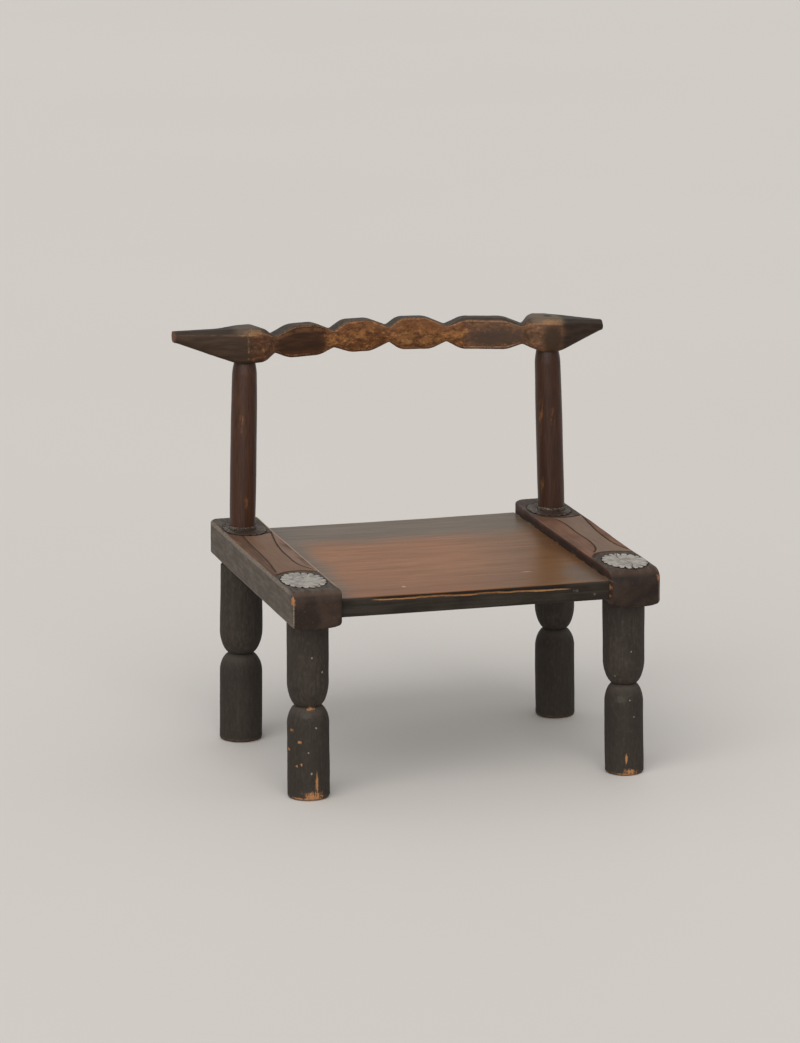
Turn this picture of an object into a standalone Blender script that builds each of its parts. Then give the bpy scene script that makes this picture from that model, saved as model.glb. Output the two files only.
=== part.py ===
"""Baule chair: a low wooden chair with drum legs, two thick side rails, a seat board between them,
two back posts and a carved, bowed crest rail. Toothed tin plates dress the rail tops.

Metres, +Z up. Left and right are as seen from the front: +X points right and the front faces -Y.
The chair stands on Z = 0 with the middle of its box on the Z axis.
"""

import math

import bmesh
import bpy
from mathutils import Matrix, Vector

# Side rails
RAIL_LENGTH = 0.450
RAIL_WIDTH = 0.068
RAIL_HEIGHT = 0.0445
RAIL_SPACING = 0.432  # between the two rails' centre lines
RAIL_CORNER = 0.014  # rounding of the upright corners
RAIL_EDGE = 0.004  # rounding of the long edges

# Seat board, which has a stopped tongue at each end
BOARD_THICKNESS = 0.0247
BOARD_DROP = 0.0135  # its top lies this far under the rail tops
BOARD_FRONT_SETBACK = 0.010
BOARD_REAR_SETBACK = 0.017
BOARD_EDGE = 0.002
TONGUE_THICKNESS = 0.012
TONGUE_LENGTH = 0.012
TONGUE_STOP = 0.012  # the tongue ends this far inside the board's front and rear edges

# Legs: two drums with a V neck between them, and a round tenon
LEG_HEIGHT = 0.2425  # floor to the rails' undersides
LEG_NECK_HEIGHT = {"front_left": 0.1237, "front_right": 0.1224, "rear_left": 0.1203, "rear_right": 0.1237}
LEG_NECK_SHARE = {"front_left": 0.575, "front_right": 0.560, "rear_left": 0.520, "rear_right": 0.535}
LEG_UPPER_ROUND = 0.024  # height of the upper drum's rounding at the neck
LEG_LOWER_ROUND = 0.018
LEG_FOOT_ROUND = 0.003
LEG_TENON_RADIUS = 0.0145
LEG_TENON_LENGTH = 0.020
FRONT_LEG_INSET = 0.058  # leg axis to the rail's front end
REAR_LEG_INSET = 0.088  # leg axis to the rail's rear end
LEG_OUTSET = {  # leg axis to the rail's centre line; hand carving makes the four differ
    "front_left": -0.0025,
    "front_right": 0.0032,
    "rear_left": 0.0102,
    "rear_right": 0.0045,
}
LEG_RADIUS = {
    "front_left": 0.0277,
    "front_right": 0.0268,
    "rear_left": 0.0288,
    "rear_right": 0.0272,
}

# Back posts, which lean from the rails to the crest rail
POST_HEIGHT = 0.226  # rail top to the underside of the crest rail's heads
POST_RADIUS = {"left": 0.0178, "right": 0.0183}  # at mid height
POST_FOOT_RADIUS = {"left": 0.0170, "right": 0.0180}
POST_TOP_RADIUS = {"left": 0.0140, "right": 0.0152}
POST_TOP_TAPER = 0.022  # height over which the post narrows to its top
POST_TENON_RADIUS = 0.0105
POST_TENON_TIP_RADIUS = 0.0056  # the upper tenon tapers and shows on the head's top
POST_INSET = 0.072  # foot axis to the rail's rear end
POST_LEAN_BACK = 0.012
POST_FOOT_OUTSET = {"left": 0.0030, "right": 0.0036}
POST_LEAN_IN = {"left": 0.0076, "right": 0.0036}
MORTISE_WEB = 0.006  # wood left between a rear leg's mortise and a post's mortise

# Crest rail: a head over each post with a horn outside it, and lobes between carved necks
CREST_BOW = 0.028  # the middle lies this far behind the heads
CREST_ARCH = 0.003  # and this far above them
CREST_ARCH_POWER = 3  # a higher power keeps the rise nearer the middle
CREST_DROP = 0.0062  # the right head sits this much lower than the left
HEAD_HEIGHT = 0.0465
HEAD_DEPTH = 0.044
HEAD_CHAMFER = 0.0075
HEAD_TOP_INNER = {"left": 0.020, "right": 0.024}  # from the post axis to the slope down to the neck
HEAD_FOOT_INNER = {"left": 0.020, "right": 0.008}  # from the post axis to the slope up to the neck
HEAD_FOOT_OUTER = {"left": 0.018, "right": 0.011}  # from the post axis to the slope under the horn
HEAD_FRONT_OUTER = {"left": -0.004, "right": 0.018}  # from the post axis to the horn's front face
HEAD_BACK_OUTER = {"left": 0.008, "right": 0.010}
HORN_ROOT = 0.034  # from the post axis to where the horn's back is clear of the head
HORN_ROOT_BACK = {"left": 0.007, "right": 0.018}  # the back's distance from the middle line there
HORN_REACH = {"left": 0.1016, "right": 0.0790}  # from the post axis to the horn's tip
HORN_DROOP = {"left": 0.0020, "right": 0.0075}
HORN_TIP_HEIGHT = {"left": 0.0135, "right": 0.0120}
HORN_TIP_DEPTH = 0.014
HORN_TIP_CHAMFER = 0.004
LOBE_HEIGHT = 0.0435
LOBE_DEPTH = 0.029
LOBE_SLOPE = 0.021  # length of the slope from a neck up to a lobe's full height
NECK_HEIGHT = 0.0225
NECK_DEPTH = 0.027
NECK_SHARES = (-0.812, -0.405, -0.030, 0.350, 0.840)  # where the necks lie, from the middle to a post
LOBE_CHAMFER = 0.003
CHAMFER_SHARE = 0.3  # a chamfer is at most this share of the section's height

# Tin: toothed oval plates over the front legs, and like collars round the posts' feet
TIN_WIDTH = 0.058
TIN_LENGTH = 0.086
TIN_THICKNESS = 0.0012
TIN_TEETH = 24
TOOTH_DEPTH = 0.0035
PLATE_OUTWARD = {"left": 0.0, "right": 0.003}  # from the rail's centre line
PLATE_BACKWARD = {"left": 0.011, "right": 0.0}  # from the front leg's axis
TIN_RECESS = 0.0008  # how deep the rail tops are cut for the tin
SLEEVE_HEIGHT = 0.0100  # the collar's turned-up rim round the post

# Gaps
SEAT_GAP = 0.0003  # between faces that touch
SIDE_GAP = 0.0003  # round tenons, tongues and tin
MORTISE_END_GAP = 0.001

# Worked out from the sizes above
RAIL_BOTTOM = LEG_HEIGHT
RAIL_TOP = LEG_HEIGHT + RAIL_HEIGHT
BOARD_TOP = RAIL_TOP - BOARD_DROP
BOARD_BOTTOM = BOARD_TOP - BOARD_THICKNESS
TIN_SEAT = RAIL_TOP - TIN_RECESS
POST_TENON_LENGTH = RAIL_HEIGHT - LEG_TENON_LENGTH - MORTISE_WEB - 2 * MORTISE_END_GAP - TIN_RECESS
SIDES = {"left": -1, "right": 1}
LATHE_STEPS = 40
OVERCUT = 0.004  # cutters run this far past the faces that they open
SHARP_ANGLE = math.radians(35)  # edges that turn more than this stay sharp


def rail_x(side):
    return SIDES[side] * RAIL_SPACING / 2


def leg_place(corner):
    end, side = corner.split("_")
    x = rail_x(side) + SIDES[side] * LEG_OUTSET[corner]
    if end == "front":
        return x, -RAIL_LENGTH / 2 + FRONT_LEG_INSET
    return x, RAIL_LENGTH / 2 - REAR_LEG_INSET


def post_foot(side):
    x = rail_x(side) + SIDES[side] * POST_FOOT_OUTSET[side]
    return Vector((x, RAIL_LENGTH / 2 - POST_INSET, TIN_SEAT + SEAT_GAP))


def post_lean(side):
    """Sideways and backward travel of a post's axis for each metre of height."""
    return Vector((-SIDES[side] * POST_LEAN_IN[side], POST_LEAN_BACK)) / POST_HEIGHT


def head_place(side):
    """The post axis at the underside of the crest rail's head."""
    lean = post_lean(side)
    foot = post_foot(side)
    x = foot.x + lean.x * POST_HEIGHT
    y = foot.y + lean.y * POST_HEIGHT
    return Vector((x, y, RAIL_TOP + POST_HEIGHT - SIDES[side] * CREST_DROP / 2))


def horn_tip_x(side):
    return head_place(side).x + SIDES[side] * HORN_REACH[side]


def clear_scene():
    for obj in list(bpy.data.objects):
        bpy.data.objects.remove(obj)


def material(name, colour, roughness, metallic=0.0):
    made = bpy.data.materials.new(name)
    made.use_nodes = True
    shader = made.node_tree.nodes["Principled BSDF"]
    shader.inputs["Base Color"].default_value = (*colour, 1.0)
    shader.inputs["Roughness"].default_value = roughness
    shader.inputs["Metallic"].default_value = metallic
    made.diffuse_color = (*colour, 1.0)
    return made


def new_object(name, shape, chair, look=None):
    """Turns a bmesh into an object under the chair's empty. Without a look it is a hidden cutter."""
    bmesh.ops.recalc_face_normals(shape, faces=shape.faces)
    mesh = bpy.data.meshes.new(name)
    shape.to_mesh(mesh)
    shape.free()
    obj = bpy.data.objects.new(name, mesh)
    bpy.context.scene.collection.objects.link(obj)
    obj.parent = chair
    if look:
        mesh.materials.append(look)
        mesh.shade_smooth()
        mesh.set_sharp_from_angle(angle=SHARP_ANGLE)
    else:
        obj.hide_render = True
        obj.display_type = "WIRE"
    return obj


def boolean(target, other, operation="DIFFERENCE"):
    modifier = target.modifiers.new(other.name, "BOOLEAN")
    modifier.operation = operation
    modifier.solver = "EXACT"
    modifier.object = other


def box(low, high):
    shape = bmesh.new()
    size = Vector(high) - Vector(low)
    middle = (Vector(high) + Vector(low)) / 2
    bmesh.ops.create_cube(shape, size=1.0, matrix=Matrix.Translation(middle) @ Matrix.Diagonal((*size, 1.0)))
    return shape


def leaning(lean, base_z):
    """A shear that keeps level faces level and moves what lies above base_z along the lean."""
    shear = Matrix.Identity(4)
    shear[0][2], shear[1][2] = lean
    return Matrix.Translation((0, 0, base_z)) @ shear @ Matrix.Translation((0, 0, -base_z))


def turned(profile):
    """A solid spun about Z from (radius, height) points that run from the top to the bottom."""
    shape = bmesh.new()
    verts = [shape.verts.new((radius, 0.0, height)) for radius, height in profile]
    edges = [shape.edges.new(pair) for pair in zip(verts, verts[1:])]
    bmesh.ops.spin(
        shape, geom=verts + edges, axis=(0, 0, 1), cent=(0, 0, 0), angle=math.tau, steps=LATHE_STEPS, use_merge=True
    )
    bmesh.ops.remove_doubles(shape, verts=shape.verts, dist=1e-6)
    return shape


def moved(shape, x, y, z=0.0):
    bmesh.ops.translate(shape, verts=shape.verts, vec=(x, y, z))
    return shape


def rounding(inner, outer, start, height, steps=5):
    """(radius, height) points of a quarter ellipse from the inner radius out to the outer one."""
    points = []
    for step in range(steps + 1):
        turn = math.pi / 2 * step / steps
        points.append((inner + (outer - inner) * math.sin(turn), start + height * (1 - math.cos(turn))))
    return points


def leg(corner, chair, look):
    radius = LEG_RADIUS[corner]
    shoulder = RAIL_BOTTOM - SEAT_GAP
    neck = LEG_NECK_SHARE[corner] * radius
    upper = rounding(neck, radius, LEG_NECK_HEIGHT[corner], LEG_UPPER_ROUND)
    lower = rounding(neck, radius, LEG_NECK_HEIGHT[corner], -LEG_LOWER_ROUND)
    profile = [
        (0.0, shoulder + LEG_TENON_LENGTH),
        (LEG_TENON_RADIUS, shoulder + LEG_TENON_LENGTH),
        (LEG_TENON_RADIUS, shoulder),
        (radius, shoulder),
        *reversed(upper),
        *lower[1:],
        (radius, LEG_FOOT_ROUND),
        (radius - LEG_FOOT_ROUND, 0.0),
        (0.0, 0.0),
    ]
    return new_object(f"{corner}_leg", moved(turned(profile), *leg_place(corner)), chair, look)


def rod(radius, bottom, top):
    return cone(radius, bottom, radius, top)


def cone(bottom_radius, bottom, top_radius, top):
    return turned([(0.0, top), (top_radius, top), (bottom_radius, bottom), (0.0, bottom)])


def back_post(side, chair, look):
    foot = post_foot(side)
    top = head_place(side).z - 2 * SEAT_GAP
    tenon_top = head_place(side).z + HEAD_HEIGHT - MORTISE_END_GAP
    middle = (foot.z + top) / 2
    profile = [
        (0.0, tenon_top),
        (POST_TENON_TIP_RADIUS, tenon_top),
        (POST_TENON_RADIUS, top),
        (POST_TOP_RADIUS[side], top),
        ((POST_TOP_RADIUS[side] + POST_RADIUS[side]) / 2, top - POST_TOP_TAPER / 3),
        (POST_FOOT_RADIUS[side], top - POST_TOP_TAPER),
        (POST_RADIUS[side], middle + POST_TOP_TAPER),
        (POST_RADIUS[side], middle),
        (POST_FOOT_RADIUS[side], foot.z),
        (POST_TENON_RADIUS, foot.z),
        (POST_TENON_RADIUS, foot.z - POST_TENON_LENGTH),
        (0.0, foot.z - POST_TENON_LENGTH),
    ]
    shape = turned(profile)
    shape.transform(leaning(post_lean(side), foot.z))
    return new_object(f"{side}_back_post", moved(shape, foot.x, foot.y), chair, look)


def post_mortise(side, name, shape, chair):
    """Turns a hole's shape along the post's lean."""
    foot = post_foot(side)
    shape.transform(leaning(post_lean(side), foot.z))
    return new_object(name, moved(shape, foot.x, foot.y), chair)


def head_mortise(side, chair):
    """A tapered hole through the head, which runs past both of the head's faces."""
    bottom = head_place(side).z
    narrowing = (POST_TENON_RADIUS - POST_TENON_TIP_RADIUS) / (HEAD_HEIGHT - MORTISE_END_GAP)
    shape = cone(
        POST_TENON_RADIUS + SIDE_GAP + narrowing * OVERCUT,
        bottom - OVERCUT,
        POST_TENON_RADIUS + SIDE_GAP - narrowing * (HEAD_HEIGHT + OVERCUT),
        bottom + HEAD_HEIGHT + OVERCUT,
    )
    return post_mortise(side, f"{side}_head_mortise", shape, chair)


def side_rail(side, chair, look):
    x = rail_x(side)
    half = Vector((RAIL_WIDTH / 2, RAIL_LENGTH / 2, 0.0))
    shape = box((x - half.x, -half.y, RAIL_BOTTOM), (x + half.x, half.y, RAIL_TOP))
    upright = [edge for edge in shape.edges if abs(edge.verts[0].co.z - edge.verts[1].co.z) > RAIL_HEIGHT / 2]
    bmesh.ops.bevel(shape, geom=upright, offset=RAIL_CORNER, segments=5, profile=0.5, affect="EDGES")
    level = [edge for edge in shape.edges if abs(edge.verts[0].co.z - edge.verts[1].co.z) < RAIL_EDGE]
    bmesh.ops.bevel(shape, geom=level, offset=RAIL_EDGE, segments=2, profile=0.5, affect="EDGES")
    rail = new_object(f"{side}_rail", shape, chair, look)
    boolean(rail, groove_cutter(side, chair))
    for corner in (f"front_{side}", f"rear_{side}"):
        hole = rod(
            LEG_TENON_RADIUS + SIDE_GAP, RAIL_BOTTOM - OVERCUT, RAIL_BOTTOM + LEG_TENON_LENGTH + MORTISE_END_GAP
        )
        boolean(rail, new_object(f"{corner}_leg_mortise", moved(hole, *leg_place(corner)), chair))
    floor = post_foot(side).z - POST_TENON_LENGTH - MORTISE_END_GAP
    mortise = rod(POST_TENON_RADIUS + SIDE_GAP, floor, RAIL_TOP + OVERCUT)
    boolean(rail, post_mortise(side, f"{side}_rail_post_mortise", mortise, chair))
    for name, place in ((f"front_{side}_recess", plate_place(side)), (f"rear_{side}_recess", collar_place(side))):
        boolean(rail, recess_cutter(name, place, chair))
    return rail


def groove_cutter(side, chair):
    inner = rail_x(side) - SIDES[side] * RAIL_WIDTH / 2
    deep = inner + SIDES[side] * (TONGUE_LENGTH + MORTISE_END_GAP)
    mouth = inner - SIDES[side] * OVERCUT
    y_low, y_high = tongue_span()
    z_low, z_high = tongue_heights()
    low = (min(deep, mouth), y_low - SIDE_GAP, z_low - SIDE_GAP)
    high = (max(deep, mouth), y_high + SIDE_GAP, z_high + SIDE_GAP)
    return new_object(f"{side}_rail_groove", box(low, high), chair)


def tongue_span():
    front = -RAIL_LENGTH / 2 + BOARD_FRONT_SETBACK + TONGUE_STOP
    rear = RAIL_LENGTH / 2 - BOARD_REAR_SETBACK - TONGUE_STOP
    return front, rear


def tongue_heights():
    middle = (BOARD_TOP + BOARD_BOTTOM) / 2
    return middle - TONGUE_THICKNESS / 2, middle + TONGUE_THICKNESS / 2


def seat_board(chair, look):
    half_width = (RAIL_SPACING - RAIL_WIDTH) / 2 - SEAT_GAP
    front = -RAIL_LENGTH / 2 + BOARD_FRONT_SETBACK
    rear = RAIL_LENGTH / 2 - BOARD_REAR_SETBACK
    shape = box((-half_width, front, BOARD_BOTTOM), (half_width, rear, BOARD_TOP))
    crosswise = [edge for edge in shape.edges if abs(edge.verts[0].co.x - edge.verts[1].co.x) > half_width]
    bmesh.ops.bevel(shape, geom=crosswise, offset=BOARD_EDGE, segments=2, profile=0.5, affect="EDGES")
    board = new_object("seat_board", shape, chair, look)
    reach = half_width + SEAT_GAP + TONGUE_LENGTH
    y_low, y_high = tongue_span()
    z_low, z_high = tongue_heights()
    tongues = new_object("seat_tongues", box((-reach, y_low, z_low), (reach, y_high, z_high)), chair)
    boolean(board, tongues, "UNION")
    return board


def plate_place(side):
    """A front plate lies on the rail, about over the front leg."""
    x = rail_x(side) + SIDES[side] * PLATE_OUTWARD[side]
    return Vector((x, leg_place(f"front_{side}")[1] + PLATE_BACKWARD[side], TIN_SEAT))


def collar_place(side):
    foot = post_foot(side)
    return Vector((rail_x(side), foot.y, TIN_SEAT))


def oval(turn, inset=0.0):
    return (TIN_WIDTH / 2 - inset) * math.cos(turn), (TIN_LENGTH / 2 - inset) * math.sin(turn)


def toothed_outline():
    """Points of the tin's outline about its middle: each tooth has a pointed tip and a root."""
    points = []
    for step in range(2 * TIN_TEETH):
        inset = TOOTH_DEPTH if step % 2 else 0.0
        points.append(oval(math.pi * step / TIN_TEETH, inset))
    return points


def recess_cutter(name, place, chair):
    shape = bmesh.new()
    steps = 2 * TIN_TEETH
    ring = [shape.verts.new((*oval(math.tau * step / steps, -2 * SIDE_GAP), 0.0)) for step in range(steps)]
    raise_face(shape, shape.faces.new(ring), TIN_RECESS + OVERCUT)
    return new_object(name, moved(shape, *place), chair)


def raise_face(shape, face, height):
    """Extrudes a level face into a slab of this height."""
    made = bmesh.ops.extrude_face_region(shape, geom=[face], use_keep_orig=True)
    verts = [item for item in made["geom"] if isinstance(item, bmesh.types.BMVert)]
    bmesh.ops.translate(shape, verts=verts, vec=(0, 0, height))


def front_plate(side, chair, look):
    shape = bmesh.new()
    ring = [shape.verts.new((x, y, 0.0)) for x, y in toothed_outline()]
    raise_face(shape, shape.faces.new(ring), TIN_THICKNESS)
    place = plate_place(side)
    return new_object(f"front_{side}_plate", moved(shape, place.x, place.y, place.z + SEAT_GAP), chair, look)


def rear_collar(side, chair, look):
    """A toothed plate with a hole for the post and a rim turned up along the post."""
    shape = bmesh.new()
    place = collar_place(side)
    foot = post_foot(side)
    lean = post_lean(side)
    base = TIN_SEAT + SEAT_GAP
    bore = POST_FOOT_RADIUS[side] + (POST_RADIUS[side] - POST_FOOT_RADIUS[side]) / 4 + SIDE_GAP
    outline = toothed_outline()

    def tin_ring(height):
        return [shape.verts.new((place.x + x, place.y + y, base + height)) for x, y in outline]

    def post_ring(radius, height):
        centre = Vector((foot.x, foot.y)) + lean * height
        turns = [math.tau * step / len(outline) for step in range(len(outline))]
        return [
            shape.verts.new((centre.x + radius * math.cos(t), centre.y + radius * math.sin(t), base + height))
            for t in turns
        ]

    rings = [
        tin_ring(0.0),
        tin_ring(TIN_THICKNESS),
        post_ring(bore + TIN_THICKNESS, TIN_THICKNESS),
        post_ring(bore + TIN_THICKNESS, SLEEVE_HEIGHT),
        post_ring(bore, SLEEVE_HEIGHT),
        post_ring(bore, 0.0),
    ]
    for ring, following in zip(rings, rings[1:] + rings[:1]):
        join_rings(shape, ring, following)
    return new_object(f"rear_{side}_collar", shape, chair, look)


def join_rings(shape, ring, following):
    count = len(ring)
    for step in range(count):
        after = (step + 1) % count
        shape.faces.new((ring[step], ring[after], following[after], following[step]))


def crest_runs():
    """Runs of (x, value) along the crest rail: its top and foot, counted from the heads' undersides, the
    reach of its front and back from its middle line, and the chamfer on its front."""
    runs = {"top": [], "foot": [], "front": [], "back": [], "chamfer": []}
    for side in SIDES:
        add_head(runs, side)
    left, right = head_place("left").x, head_place("right").x
    middle, half_span = (left + right) / 2, (right - left) / 2
    necks = [middle + share * half_span for share in NECK_SHARES]
    for neck in necks:
        add_waist(runs, neck, NECK_HEIGHT, NECK_DEPTH)
    for start, end in zip(necks, necks[1:]):
        for x in (start + LOBE_SLOPE, end - LOBE_SLOPE):
            add_waist(runs, x, LOBE_HEIGHT, LOBE_DEPTH)
    return {name: sorted(run) for name, run in runs.items()}


def add_head(runs, side):
    """A head over its post, and the horn outside it."""
    axis = head_place(side).x
    outward = SIDES[side]
    tip = horn_tip_x(side)
    tip_top = HEAD_HEIGHT - HORN_DROOP[side]
    inner = axis - outward * HEAD_TOP_INNER[side]
    half_depth = HEAD_DEPTH / 2
    runs["top"] += [(tip, tip_top), (axis, HEAD_HEIGHT), (inner, HEAD_HEIGHT)]
    runs["foot"] += [(tip, tip_top - HORN_TIP_HEIGHT[side])]
    runs["foot"] += [(axis + outward * HEAD_FOOT_OUTER[side], 0.0)]
    runs["foot"] += [(axis - outward * HEAD_FOOT_INNER[side], 0.0)]
    runs["front"] += [(tip, HORN_TIP_DEPTH / 2), (axis + outward * HEAD_FRONT_OUTER[side], half_depth)]
    runs["front"] += [(inner, half_depth)]
    runs["back"] += [(tip, HORN_TIP_DEPTH / 2), (axis + outward * HORN_ROOT, HORN_ROOT_BACK[side])]
    runs["back"] += [(axis + outward * HEAD_BACK_OUTER[side], half_depth), (inner, half_depth)]
    runs["chamfer"] += [(tip, HORN_TIP_CHAMFER), (axis, HEAD_CHAMFER), (inner, HEAD_CHAMFER)]


def add_waist(runs, x, height, depth):
    """A section that lies in the middle of the heads' height and on the middle line."""
    runs["top"].append((x, (HEAD_HEIGHT + height) / 2))
    runs["foot"].append((x, (HEAD_HEIGHT - height) / 2))
    runs["front"].append((x, depth / 2))
    runs["back"].append((x, depth / 2))
    runs["chamfer"].append((x, LOBE_CHAMFER))


def between(run, x):
    """The value at x on the straight lines between a run's points."""
    for (start, first), (end, second) in zip(run, run[1:]):
        if x <= end:
            return first + (second - first) * (x - start) / (end - start)
    return run[-1][1]


def crest_line(x):
    """Plan position, rise and plan slope of the crest rail's middle line at x. The horns run straight."""
    left, right = head_place("left"), head_place("right")
    half_span = (right.x - left.x) / 2
    share = (x - (left.x + right.x) / 2) / half_span
    level = left.z + (right.z - left.z) * (share + 1) / 2
    lift = max(0.0, 1 - share * share)
    slope = -2 * CREST_BOW * share / half_span if lift else 0.0
    return left.y + CREST_BOW * lift, level + CREST_ARCH * lift**CREST_ARCH_POWER, slope


def crest_section(shape, x, top, foot, front, back, chamfer):
    """An eight-cornered ring across the crest rail at x."""
    y, z, slope = crest_line(x)
    across = Vector((-slope, 1.0)).normalized()
    high = min(chamfer, CHAMFER_SHARE * (top - foot))
    low = min(LOBE_CHAMFER, CHAMFER_SHARE * (top - foot))
    corners = [
        (-front, foot + low),
        (-front, top - high),
        (-front + high, top),
        (back - low, top),
        (back, top - low),
        (back, foot + low),
        (back - low, foot),
        (-front + low, foot),
    ]
    return [shape.verts.new((x + reach * across.x, y + reach * across.y, z + rise)) for reach, rise in corners]


def crest_rail(chair, look):
    runs = crest_runs()
    shape = bmesh.new()
    rings = []
    for x in sorted({x for run in runs.values() for x, value in run}):
        rings.append(crest_section(shape, x, *(between(run, x) for run in runs.values())))
    for ring, following in zip(rings, rings[1:]):
        join_rings(shape, ring, following)
    shape.faces.new(rings[0])
    shape.faces.new(rings[-1])
    crest = new_object("crest_rail", shape, chair, look)
    for side in SIDES:
        boolean(crest, head_mortise(side, chair))
    return crest


def build():
    clear_scene()
    chair = bpy.data.objects.new("chair", None)
    chair.location.x = -(horn_tip_x("left") + horn_tip_x("right")) / 2
    bpy.context.scene.collection.objects.link(chair)

    seat_wood = material("seat_wood", (0.150, 0.072, 0.038), 0.45)
    rail_wood = material("rail_wood", (0.060, 0.043, 0.034), 0.55)
    leg_wood = material("leg_wood", (0.022, 0.018, 0.015), 0.70)
    post_wood = material("post_wood", (0.042, 0.022, 0.015), 0.42)
    crest_wood = material("crest_wood", (0.120, 0.062, 0.026), 0.45)
    plate_tin = material("plate_tin", (0.50, 0.49, 0.46), 0.50, 0.85)
    collar_tin = material("collar_tin", (0.090, 0.080, 0.070), 0.60, 0.60)

    seat_board(chair, seat_wood)
    for corner in LEG_OUTSET:
        leg(corner, chair, leg_wood)
    for side in SIDES:
        side_rail(side, chair, rail_wood)
        back_post(side, chair, post_wood)
        front_plate(side, chair, plate_tin)
        rear_collar(side, chair, collar_tin)
    crest_rail(chair, crest_wood)


build()
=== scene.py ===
"""Looks of a low carved wooden chair: hand-worked wood, lines cut into the rail tops, and toothed tin.

Metres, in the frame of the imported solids: +X right as seen from the front, the front faces -Y, +Z up.
"""

import functools
import math

import bmesh
import bpy
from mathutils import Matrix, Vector


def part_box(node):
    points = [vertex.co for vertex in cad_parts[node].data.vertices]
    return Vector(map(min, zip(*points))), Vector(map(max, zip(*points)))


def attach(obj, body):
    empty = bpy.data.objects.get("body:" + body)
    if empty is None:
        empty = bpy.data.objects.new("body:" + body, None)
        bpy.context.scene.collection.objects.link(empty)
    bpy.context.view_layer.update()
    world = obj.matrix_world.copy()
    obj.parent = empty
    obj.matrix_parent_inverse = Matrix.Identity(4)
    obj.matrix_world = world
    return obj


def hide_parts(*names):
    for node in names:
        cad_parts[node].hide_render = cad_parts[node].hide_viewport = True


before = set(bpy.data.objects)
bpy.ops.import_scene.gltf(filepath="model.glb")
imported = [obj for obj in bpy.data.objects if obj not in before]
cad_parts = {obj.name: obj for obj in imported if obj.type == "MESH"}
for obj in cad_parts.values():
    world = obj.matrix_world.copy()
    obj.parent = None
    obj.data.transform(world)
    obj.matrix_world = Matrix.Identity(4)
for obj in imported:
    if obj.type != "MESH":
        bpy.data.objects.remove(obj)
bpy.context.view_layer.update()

SIDES = {"left": -1, "right": 1}
CORNERS = ("front_left", "front_right", "rear_left", "rear_right")
SHARP_ANGLE = math.radians(50)
RIM_SLACK = 0.0002  # points this near to the level of a turned solid's end lie on its rim


def by_side(*values):
    """One value for each side, the left one first."""
    return dict(zip(SIDES, values))


def by_corner(*values):
    """One value for each leg, in the order of the corners."""
    return dict(zip(CORNERS, values))


@functools.cache
def node_box(node):
    """The low and high corner of a solid's box."""
    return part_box(node)


CHAIR_X = (node_box("left_rail")[0].x + node_box("right_rail")[1].x) / 2

# Camera, as it stood for the photograph
CAMERA_PLACE = Vector((CHAIR_X - 1.8319, -6.2454, 1.8035))
CAMERA_YAW = math.radians(16.0)
CAMERA_PITCH = math.radians(12.86)
FOCAL_LENGTH_IN_PIXELS = 5000
IMAGE_HEIGHT_IN_PIXELS = 1043
SENSOR_WIDTH = 36.0
VIEW_DISTANCE = 100.0

# Light and floor: an even sky and a broad soft window at the front left
SKY_COLOUR = (0.97, 0.98, 1.0, 1.0)
SKY_STRENGTH = 0.60
WINDOW_STRENGTH = 2.2
WINDOW_ANGLE = math.radians(75)
WINDOW_DIRECTION = (-0.45, -0.90, 0.72)
FLOOR_RADIUS = 14.0
FLOOR_SIDES = 96

# Hand work: the adze's hollows and the raised fibres, in features for each metre along each axis
HAND_WORK = {
    "leg": {"Hollows": (45, 45, 14), "HollowDepth": 0.0018, "Fibres": (520, 520, 30), "FibreDepth": 0.00020},
    "post": {"Hollows": (60, 60, 12), "HollowDepth": 0.0010, "Fibres": (600, 600, 25), "FibreDepth": 0.00015},
    "rail": {"Hollows": (26, 14, 26), "HollowDepth": 0.0012, "Fibres": (260, 22, 260), "FibreDepth": 0.0004},
    "seat": {"Hollows": (8, 22, 30), "HollowDepth": 0.0008, "Fibres": (14, 260, 260), "FibreDepth": 0.00025},
    "crest": {"Hollows": (30, 60, 60), "HollowDepth": 0.0012, "Fibres": (40, 420, 420), "FibreDepth": 0.0002},
}

# Sizes of the rings that fill the two ends of a block, as shares of its last ring
END_SHARES = {
    "leg": ((0.8, 0.5, 0.2), (0.8, 0.4)),
    "post": ((0.6, 0.2), (0.6, 0.2)),
    "rail": ((0.92, 0.75, 0.55, 0.3), (0.92, 0.75, 0.55, 0.3)),
    "seat": ((0.5,), (0.5,)),
    "crest": ((0.9, 0.5), (0.9, 0.5)),
}
ARC_STEPS = 4  # steps round a rounded corner

# Ragged marks: the share of a line's width that is solid, and where a patch starts and is full
LINE_CORE = 0.4
PATCH_RIM = (1.15, 0.55)
RAGGED_NOISE = ((260, 260, 260), 4.0, 0.65)  # frequency, detail and roughness
CRUMB_NOISE = ((900, 900, 900), 3.0, 0.7)
# near black: painted shadow in the tins' recesses, and the dark end of the right post's tenon
RECESS_SHADOW_AND_TENON_END = (0.016, 0.011, 0.008)

# Legs
LEG_NECK_HEIGHT = by_corner(0.1237, 0.1224, 0.1203, 0.1237)
LEG_NECK_SHARE = by_corner(0.575, 0.560, 0.520, 0.535)
LEG_UPPER_ROUND = 0.031  # height over which the upper drum rounds in to the neck
LEG_LOWER_ROUND = 0.024
LEG_ROUND_POWER = 1.7  # 2 gives an ellipse, less a flatter slope
LEG_FOOT_ROUND = 0.004
LEG_FOOT_STEPS = 4
LEG_TOP_TAPER = by_corner(-0.0003, -0.0004, 0.0007, 0.0007)
LEG_SPLAY = by_corner(-0.0006, 0.0038, 0.0026, 0.0027)
LEG_UPPER_DRUM = by_corner(0.98, 1.028, 1.0, 1.0)
LEG_LOWER_DRUM = by_corner(1.0, 0.965, 1.0, 1.0)
TURNED_RING_STEP = 0.0016
TURNED_SIDES = 96

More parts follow.
